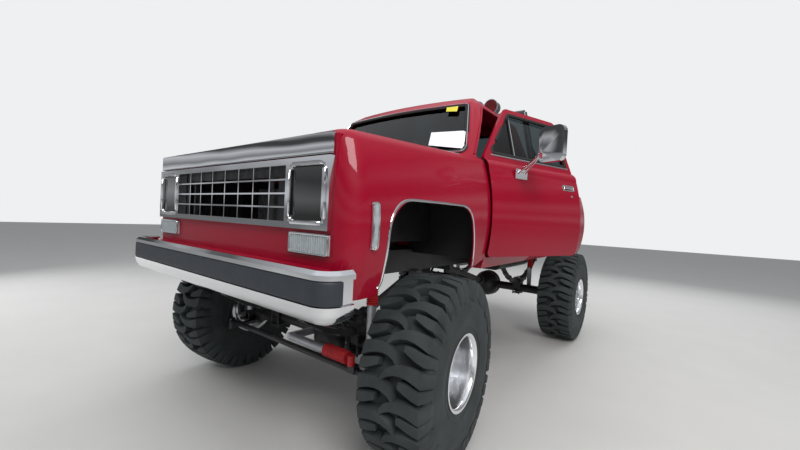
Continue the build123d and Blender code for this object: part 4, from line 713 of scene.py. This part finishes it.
rod_y, rod_z = front_y - 0.272, axle_z + 0.012
fold = [(fold_r * math.cos(tau * k / 10), boot_r + fold_r * math.sin(tau * k / 10)) for k in range(10)]
damper_folds = Batch()
for k in range(folds):
    place = Matrix.Translation((boot_end - boot_length * (k + 0.7) / folds, rod_y, rod_z))
    damper_folds.revolve(fold, place, 32)
damper_folds.make("damper_boot_folds", boot_red, "damper_rod", "boot", angle=60)

# Leaf springs: plates and U-bolts at the axle, and bands round the leaves
clamps = Batch()
perch = axle_height + 62
spring_half, spring_rise = 600, 235
arc = (spring_half ** 2 + spring_rise ** 2) / (2 * spring_rise)
for axle in (0, wheelbase):
    for sign in (1, -1):
        x = sign * 430
        clamps.box(at(x - 48, axle - 78, perch + 45), at(x + 48, axle + 78, perch + 57), bevel=0.003)
        clamps.box(at(x - 46, axle - 74, perch - 130), at(x + 46, axle + 74, perch - 118), bevel=0.003)
        for y in (-60, 60):
            leg = ((-40, -140), (-40, 62), (-33, 73), (0, 76), (33, 73), (40, 62), (40, -140))
            clamps.tube([at(x + across, axle + y, perch + up) for across, up in leg], 0.007, 10)
        for share in (-0.62, -0.34, 0.34, 0.62):
            y = share * spring_half
            lift = arc - math.sqrt(arc ** 2 - y ** 2)
            slope = math.asin(y / arc)
            low = 0.014 if abs(share) > 0.5 else 0.001
            band = Matrix.Translation(at(x, axle + y, perch + lift)) @ Matrix.Rotation(slope, 4, "X")
            clamps.box((-0.037, -0.014, low), (0.037, 0.014, 0.049), bevel=0.002, place=band)
clamps.make("spring_clamps", spring_black, "body", "spring")

# Axle covers with bolts, seen from the front and the back
covers, cover_bolts = Batch(), Batch()
for x, axle, radius, way in ((240, 0, 0.150, -1), (0, wheelbase, 0.165, 1)):
    facing = Matrix.Translation(at(x, axle, axle_height)) @ Matrix.Rotation(way * math.pi / 2, 4, "Z")
    covers.revolve([(0.060, radius * 0.93), (0.060, radius * 1.02), (0.074, radius * 1.02),
                    (0.078, radius * 0.9), (0.110, radius * 0.84), (0.140, radius * 0.66),
                    (radius + 0.004, radius * 0.36), (radius + 0.006, 0.0)], facing, 40, closed=False)
    for k in range(10):
        turn = facing @ Matrix.Rotation(tau * (k + 0.5) / 10, 4, "X")
        turn = turn @ Matrix.Translation((0, 0, radius * 0.965))
        cover_bolts.revolve([(0.072, 0), (0.072, 0.009), (0.080, 0.009), (0.082, 0.007), (0.082, 0)], turn, 6)
covers.make("axle_covers", black_paint, "body", "frame_paint")
cover_bolts.make("axle_cover_bolts", steel, "body", "silver")

# Bumper pad: one strip in the recess, turned round both corners
pad = Batch()
corner_x, corner_y, corner_r = 945, -756, 92


def pad_corner(side, angles):
    """Places and outward directions round one corner of the bumper."""
    turns = [(math.cos(math.radians(angle)), math.sin(math.radians(angle))) for angle in angles]
    return [((side * corner_x + corner_r * x, corner_y + corner_r * y), (x, y)) for x, y in turns]


path = [((-corner_x - corner_r, corner_y), (-1, 0))]
path += pad_corner(-1, range(189, 271, 9))
path += [((x, corner_y - corner_r), (0, -1)) for x in range(-900, 901, 100)]
path += pad_corner(1, range(270, 361, 9))
pad_section = ((13.4, -26.6), (3.0, -26.6), (0.8, -23.5), (0.2, -14), (0.2, 55), (0.8, 64.5), (3.0, 67.6),
               (13.4, 67.6))


def pad_ring(i):
    (x, y), (nx, ny) = path[i]
    return [at(x - nx * depth, y - ny * depth, z) for depth, z in pad_section]


pad.sweep(path, pad_ring)
piece = pad.make("bumper_rub_strip", pad_slate, "body", "pad")
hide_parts("bumper_pad")

# Hood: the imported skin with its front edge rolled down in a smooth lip
hood_mesh = nodes["hood"].data.copy()
build = bmesh.new()
build.from_mesh(hood_mesh)
bmesh.ops.remove_doubles(build, verts=build.verts, dist=0.0001)
for y in (-680, -660, -635, -605, -570, -530, -485):
    bmesh.ops.bisect_plane(build, geom=list(build.verts) + list(build.edges) + list(build.faces),
                           plane_co=at(0, y, 0), plane_no=(0, 1, 0))
lip_start, lip_depth, lip_top, lip_under = at(0, -485, 0).y, 0.211, 0.683, 0.6765
# The solid hood's own form: its middle's height in mm is worked out from these
hood_front, hood_length, hood_half = at(0, -700, 0).y, 1.348, 0.696
hood_z, hood_rise, hood_crown, half_skin = 700, 90, 26, 12
for v in build.verts:
    share = (lip_start - v.co.y) / lip_depth
    if share > 0:
        ease = min(1.0, share) ** 2 * (3 - 2 * min(1.0, share))
        rise = (v.co.y - hood_front) / hood_length * hood_rise
        bulge = hood_crown * (1 - ((v.co.x - mid_x) / hood_half) ** 2)
        middle = rocker + (hood_z + rise - half_skin + bulge) / 1000
        target = rocker + (lip_top if v.co.z > middle else lip_under)
        if v.co.z > target:
            v.co.z += (target - v.co.z) * ease
bmesh.ops.recalc_face_normals(build, faces=build.faces)
build.to_mesh(hood_mesh)
build.free()
hood_mesh.materials.clear()
hood_mesh.materials.append(red)
hood_piece = bpy.data.objects.new("hood_skin", hood_mesh)
bpy.context.scene.collection.objects.link(hood_piece)
smooth(hood_piece)
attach(hood_piece, "hood")
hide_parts("hood")

# Blank sheet and blank sticker on the windscreen
paper = material("blank_paper", (0.80, 0.81, 0.84), 0.6, noise=0.02, scale=10)
sticker_yellow = material("blank_sticker", (0.62, 0.55, 0.04), 0.5, noise=0.05, scale=30)
sheet_long, sheet_high = 8, 4
sheet_corners = ((452, 703, 1022), (737, 741, 1015), (787, 634, 855), (484, 621, 902))
sticker_corners = ((476, 889, 1282), (575, 899, 1278), (590, 853, 1212), (491, 846, 1222))
for name, mat, corners_mm in (("window_sheet", paper, sheet_corners),
                              ("window_sticker", sticker_yellow, sticker_corners)):
    sheet = Batch()
    verts, faces = [], []
    for i in range(sheet_long + 1):
        top = Vector(corners_mm[0]).lerp(Vector(corners_mm[1]), i / sheet_long)
        low = Vector(corners_mm[3]).lerp(Vector(corners_mm[2]), i / sheet_long)
        for j in range(sheet_high + 1):
            point = low.lerp(top, j / sheet_high)
            for lift in (6.5, 8.0):
                verts.append(at(point.x + lift * 0.2, point.y - lift, point.z + lift * 0.5))
    n = 2 * (sheet_high + 1)
    for i in range(sheet_long):
        for a in range(i * n, i * n + 2 * sheet_high):
            faces.append((a, a + 2, a + n + 2, a + n))
        for a in (i * n, i * n + 2 * sheet_high):
            faces.append((a, a + 1, a + n + 1, a + n))
    for base in (0, sheet_long * n):
        for a in range(base, base + 2 * sheet_high, 2):
            faces.append((a, a + 1, a + 3, a + 2))
    sheet.add(verts, faces)
    sheet.make(name, mat, "body")

# Wipers on the windscreen's lower edge
wipers = Batch()
for start_x, tip_x in ((-560, -60), (60, 560)):
    points = [(start_x + (tip_x - start_x) * k / 12, 866 + 13 * math.sin(math.pi * k / 12))
              for k in range(13)]
    places, normals = project(front_tree, [from_front(p) for p in points], (0, 1, 0))
    wipers.ribbon([p + n * 0.006 for p, n in zip(places, normals)], normals, 0.012, 0.014, sink=0.005)
    arm_line = [(start_x + 10 + 12 * k, 838 + 2.9 * k) for k in range(12)]
    places, normals = project(front_tree, [from_front(p) for p in arm_line], (0, 1, 0))
    wipers.tube([p + n * 0.022 for p, n in zip(places, normals)], 0.006, 8)
wipers.make("wipers", trim_black, "body", "trim")

# Dark liners behind the front arches, ahead of the hinge pillars
liners = Batch()
for sign in (1, -1):
    low_x, high_x = sorted((sign * 380, sign * 972))
    liners.box(at(low_x, 560, 70), at(high_x, 568, 620), bevel=0.002)
liners.make("fender_liners", trim_black, "body", "trim")

# Bed: floor ribs, a blank pressing on the tailgate, its handle, and the tail lamps' rims and ribs
bed_ribs = Batch()
for k in range(-5, 6):
    bed_ribs.box(at(k * 104 - 22, 1950, 233), at(k * 104 + 22, 3790, 240), bevel=0.003)
bed_ribs.make("bed_floor_ribs", red, "body", "body_paint")
gate_tree = surface("tailgate")
pressing, gate_bright = Batch(), Batch()
panel = rounded([(-700, 300), (-700, 640), (700, 640), (700, 300)], 40, gap=100)
frame_strip(pressing, gate_tree, panel, (0, -1, 0), from_behind, 0.028, 0.005)
pressing.make("tailgate_pressing", red, "tailgate", "body_paint")
handle = rounded([(-80, 668), (-80, 728), (80, 728), (80, 668)], 14, gap=40)
frame_strip(gate_bright, gate_tree, handle, (0, -1, 0), from_behind, 0.010, 0.006)
gate_bright.box(at(-62, 3905.5, 688), at(62, 3915, 716), bevel=0.004)
gate_bright.make("tailgate_handle", chrome, "tailgate", "chrome")
lamp_rims, lamp_ribs = Batch(), Batch()
tail_tree = surface("tail_lamps")
for sign in (1, -1):
    lamp = [(sign * x, z) for x, z in ((872, 334), (872, 636), (921, 636), (921, 334))]
    frame_strip(lamp_rims, tail_tree, rounded(lamp, 10, gap=60), (0, -1, 0), from_behind, 0.009, 0.005)
    for k in range(20):
        z = 348 + k * 14.6
        low_x, high_x = sorted((sign * 878, sign * 915))
        lamp_ribs.box(at(low_x, 3928.5, z - 2.4), at(high_x, 3931.5, z + 2.4), bevel=0.0012)
lamp_rims.make("tail_lamp_rims", chrome, "body", "chrome")
lamp_ribs.make("tail_lamp_ribs", lens_red, "body", "tail_lens")

# Inside: an instrument hood with two dials, vents and a glove box lid
inside = Batch()
inside.box(at(210, 668, 700), at(510, 900, 752), bevel=0.018)
inside.box(at(-620, 898, 610), at(-180, 912, 690), bevel=0.006)
for x in (-90, 40, 640):
    for k in range(4):
        inside.box(at(x - 45, 900, 612 + k * 14), at(x + 45, 909, 620 + k * 14), bevel=0.002)
inside.make("dashboard_details", trim_black, "body", "trim")
dials = Batch()
dial = [(0, 0.052), (0.010, 0.052), (0.010, 0.046), (0.004, 0.044), (0.004, 0)]
for x in (300, 420):
    facing = Matrix.Translation(at(x, 903, 664)) @ Matrix.Rotation(math.pi / 2, 4, "Z")
    dials.revolve(dial, facing, 32, closed=False)
dials.make("dials", chrome, "body", "chrome")

# Bench seat: two padded cushions blown up by a short cloth simulation
voxel, cloth_frames, pressure = 0.012, 20, 4
cushion_edge, swell_limit, inset_share = 0.045, 0.024, 0.8


def cushion(name, low, high, lean):
    """Padded form that swells from a box inside low and high, by the swell limit at most."""
    start = Batch()
    centre = (low + high) / 2
    place = Matrix.Translation(centre) @ Matrix.Rotation(lean, 4, "X") @ Matrix.Translation(-centre)
    inset = Vector((swell_limit, swell_limit, swell_limit)) * inset_share
    start.box(low + inset, high - inset, bevel=cushion_edge, place=place)
    mesh = bpy.data.meshes.new(name + "_start")
    mesh.from_pydata([tuple(v) for v in start.verts], [], start.faces)
    obj = bpy.data.objects.new(name, mesh)
    bpy.context.scene.collection.objects.link(obj)
    remesh = obj.modifiers.new("remesh", "REMESH")
    remesh.mode = "VOXEL"
    remesh.voxel_size = voxel
    bpy.context.view_layer.update()
    depsgraph = bpy.context.evaluated_depsgraph_get()
    even = bpy.data.meshes.new_from_object(obj.evaluated_get(depsgraph))
    obj.modifiers.clear()
    obj.data = even
    rest = [v.co.copy() for v in even.vertices]
    cloth_mod = obj.modifiers.new("cloth", "CLOTH")
    cloth_mod.settings.use_pressure = True
    cloth_mod.settings.uniform_pressure_force = pressure
    cloth_mod.settings.effector_weights.gravity = 0
    for frame_number in range(1, cloth_frames + 1):
        bpy.context.scene.frame_set(frame_number)
    depsgraph = bpy.context.evaluated_depsgraph_get()
    blown = bpy.data.meshes.new_from_object(obj.evaluated_get(depsgraph))
    obj.modifiers.clear()
    for v, before in zip(blown.vertices, rest):
        move = v.co - before
        if move.length > swell_limit:
            v.co = before + move.normalized() * swell_limit
    obj.data = blown
    bpy.context.scene.frame_set(1)
    obj.data.materials.clear()
    obj.data.materials.append(cloth)
    for polygon in obj.data.polygons:
        polygon.use_smooth = True
    obj.modifiers.new("smoother", "SUBSURF").levels = 1
    obj.modifiers["smoother"].render_levels = 1
    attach(obj, "body")
    return obj


base_low, base_high = at(-636, 1256, 300), at(636, 1690, 474)
back_low, back_high = at(-636, 1660, 330), at(636, 1792, 968)
seat_base = cushion("seat_cushion", base_low, base_high, lean=math.radians(-4))
cushion("seat_back", back_low, back_high, lean=math.radians(-6))
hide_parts("seat")
seat_frame = Batch()
seat_frame.box(at(-630, 1285, 151), at(630, 1750, 318), bevel=0.012)
seat_frame.make("seat_box", trim_black, "body", "trim")

# Floor, backdrop and light: pale for the camera, with dark and bright bands for the chrome to mirror
floor_mat = material("studio_floor", (0.50, 0.50, 0.49), 0.6, noise=0.02, scale=2)
floor = bpy.data.meshes.new("floor")
reach = 30
floor.from_pydata([(-reach, -reach, 0), (reach, -reach, 0), (reach, reach, 0), (-reach, reach, 0)], [],
                  [(0, 1, 2, 3)])
floor_obj = bpy.data.objects.new("floor", floor)
floor.materials.append(floor_mat)
scene = bpy.context.scene
scene.collection.objects.link(floor_obj)
scene.view_settings.view_transform = "Standard"
world = bpy.data.worlds.new("studio")
scene.world = world
world.use_nodes = True
wt = world.node_tree
background = wt.nodes["Background"]
background.inputs["Color"].default_value = (0.80, 0.82, 0.85, 1)
background.inputs["Strength"].default_value = 0.55
path_node = wt.nodes.new("ShaderNodeLightPath")
pale = wt.nodes.new("ShaderNodeBackground")
pale.inputs["Color"].default_value = (0.86, 0.87, 0.88, 1)
pale.inputs["Strength"].default_value = 1.0
dim = wt.nodes.new("ShaderNodeBackground")
dim.inputs["Strength"].default_value = 1.0
direction = wt.nodes.new("ShaderNodeTexCoord")
split = wt.nodes.new("ShaderNodeSeparateXYZ")
ramp = wt.nodes.new("ShaderNodeValToRGB")
wt.links.new(direction.outputs["Generated"], split.inputs["Vector"])
wt.links.new(split.outputs["Z"], ramp.inputs["Fac"])
wt.links.new(ramp.outputs["Color"], dim.inputs["Color"])
ramp.color_ramp.elements[0].position = 0.0
ramp.color_ramp.elements[0].color = (0.16, 0.165, 0.17, 1)
ramp.color_ramp.elements[1].position = 0.85
ramp.color_ramp.elements[1].color = (0.75, 0.78, 0.82, 1)
bands = ((0.04, 0.62), (0.09, 0.20), (0.16, 0.55), (0.22, 0.06), (0.28, 0.05), (0.36, 0.40), (0.46, 0.10),
         (0.62, 0.45))
for place, value in bands:
    ramp.color_ramp.elements.new(place).color = (value, value * 1.02, value * 1.06, 1)
gloss_mixer = wt.nodes.new("ShaderNodeMixShader")
mixer = wt.nodes.new("ShaderNodeMixShader")
seen = wt.nodes.new("ShaderNodeMath")
seen.operation = "MAXIMUM"
wt.links.new(path_node.outputs["Is Camera Ray"], seen.inputs[0])
wt.links.new(path_node.outputs["Is Transmission Ray"], seen.inputs[1])
wt.links.new(seen.outputs["Value"], mixer.inputs["Fac"])
wt.links.new(path_node.outputs["Is Glossy Ray"], gloss_mixer.inputs["Fac"])
wt.links.new(background.outputs["Background"], gloss_mixer.inputs[1])
wt.links.new(dim.outputs["Background"], gloss_mixer.inputs[2])
wt.links.new(gloss_mixer.outputs["Shader"], mixer.inputs[1])
wt.links.new(pale.outputs["Background"], mixer.inputs[2])
wt.links.new(mixer.outputs["Shader"], wt.nodes["World Output"].inputs["Surface"])


def area_light(name, place, target, size, power, color=(1, 1, 1), in_gloss=True):
    data = bpy.data.lights.new(name, "AREA")
    data.shape = "RECTANGLE"
    data.size, data.size_y = size
    data.energy = power
    data.color = color
    obj = bpy.data.objects.new(name, data)
    obj.location = place
    obj.rotation_euler = (Vector(target) - Vector(place)).to_track_quat("-Z", "Y").to_euler()
    obj.visible_glossy = in_gloss
    scene.collection.objects.link(obj)


area_light("key", (5.5, -5.0, 6.0), (0, -0.5, 1.0), (4, 3), 420, (1.0, 0.98, 0.95))
area_light("top", (0, 0, 7.5), (0, 0, 0), (6, 8), 330, in_gloss=False)
area_light("fill", (-6.0, -4.0, 3.0), (0, -0.5, 1.2), (4, 4), 170, in_gloss=False)
area_light("back", (2.0, 7.0, 4.5), (0, 0, 1.0), (5, 3), 200, in_gloss=False)

# Camera: place, turn and focal length solved from the photograph's edges
cam_place = Vector((mid_x + 2.041, front_y - 1.731, rocker + 0.319))
yaw, pitch, roll = math.radians(37.42), math.radians(-0.87), math.radians(2.87)
focal_px, photo_width, sensor = 360.3, 800, 36.0
ahead = Vector((-math.sin(yaw) * math.cos(pitch), math.cos(yaw) * math.cos(pitch), math.sin(pitch)))
right = ahead.cross(Vector((0, 0, 1))).normalized()
up = right.cross(ahead)
right_rolled = math.cos(roll) * right + math.sin(roll) * up
up_rolled = -math.sin(roll) * right + math.cos(roll) * up
cam_data = bpy.data.cameras.new("camera")
cam_data.sensor_fit = "HORIZONTAL"
cam_data.sensor_width = sensor
cam_data.lens = focal_px / photo_width * sensor
cam_data.clip_start = 0.05
camera = bpy.data.objects.new("camera", cam_data)
turned = Matrix((right_rolled, up_rolled, -ahead)).transposed().to_4x4()
camera.matrix_world = Matrix.Translation(cam_place) @ turned
scene.collection.objects.link(camera)
scene.camera = camera
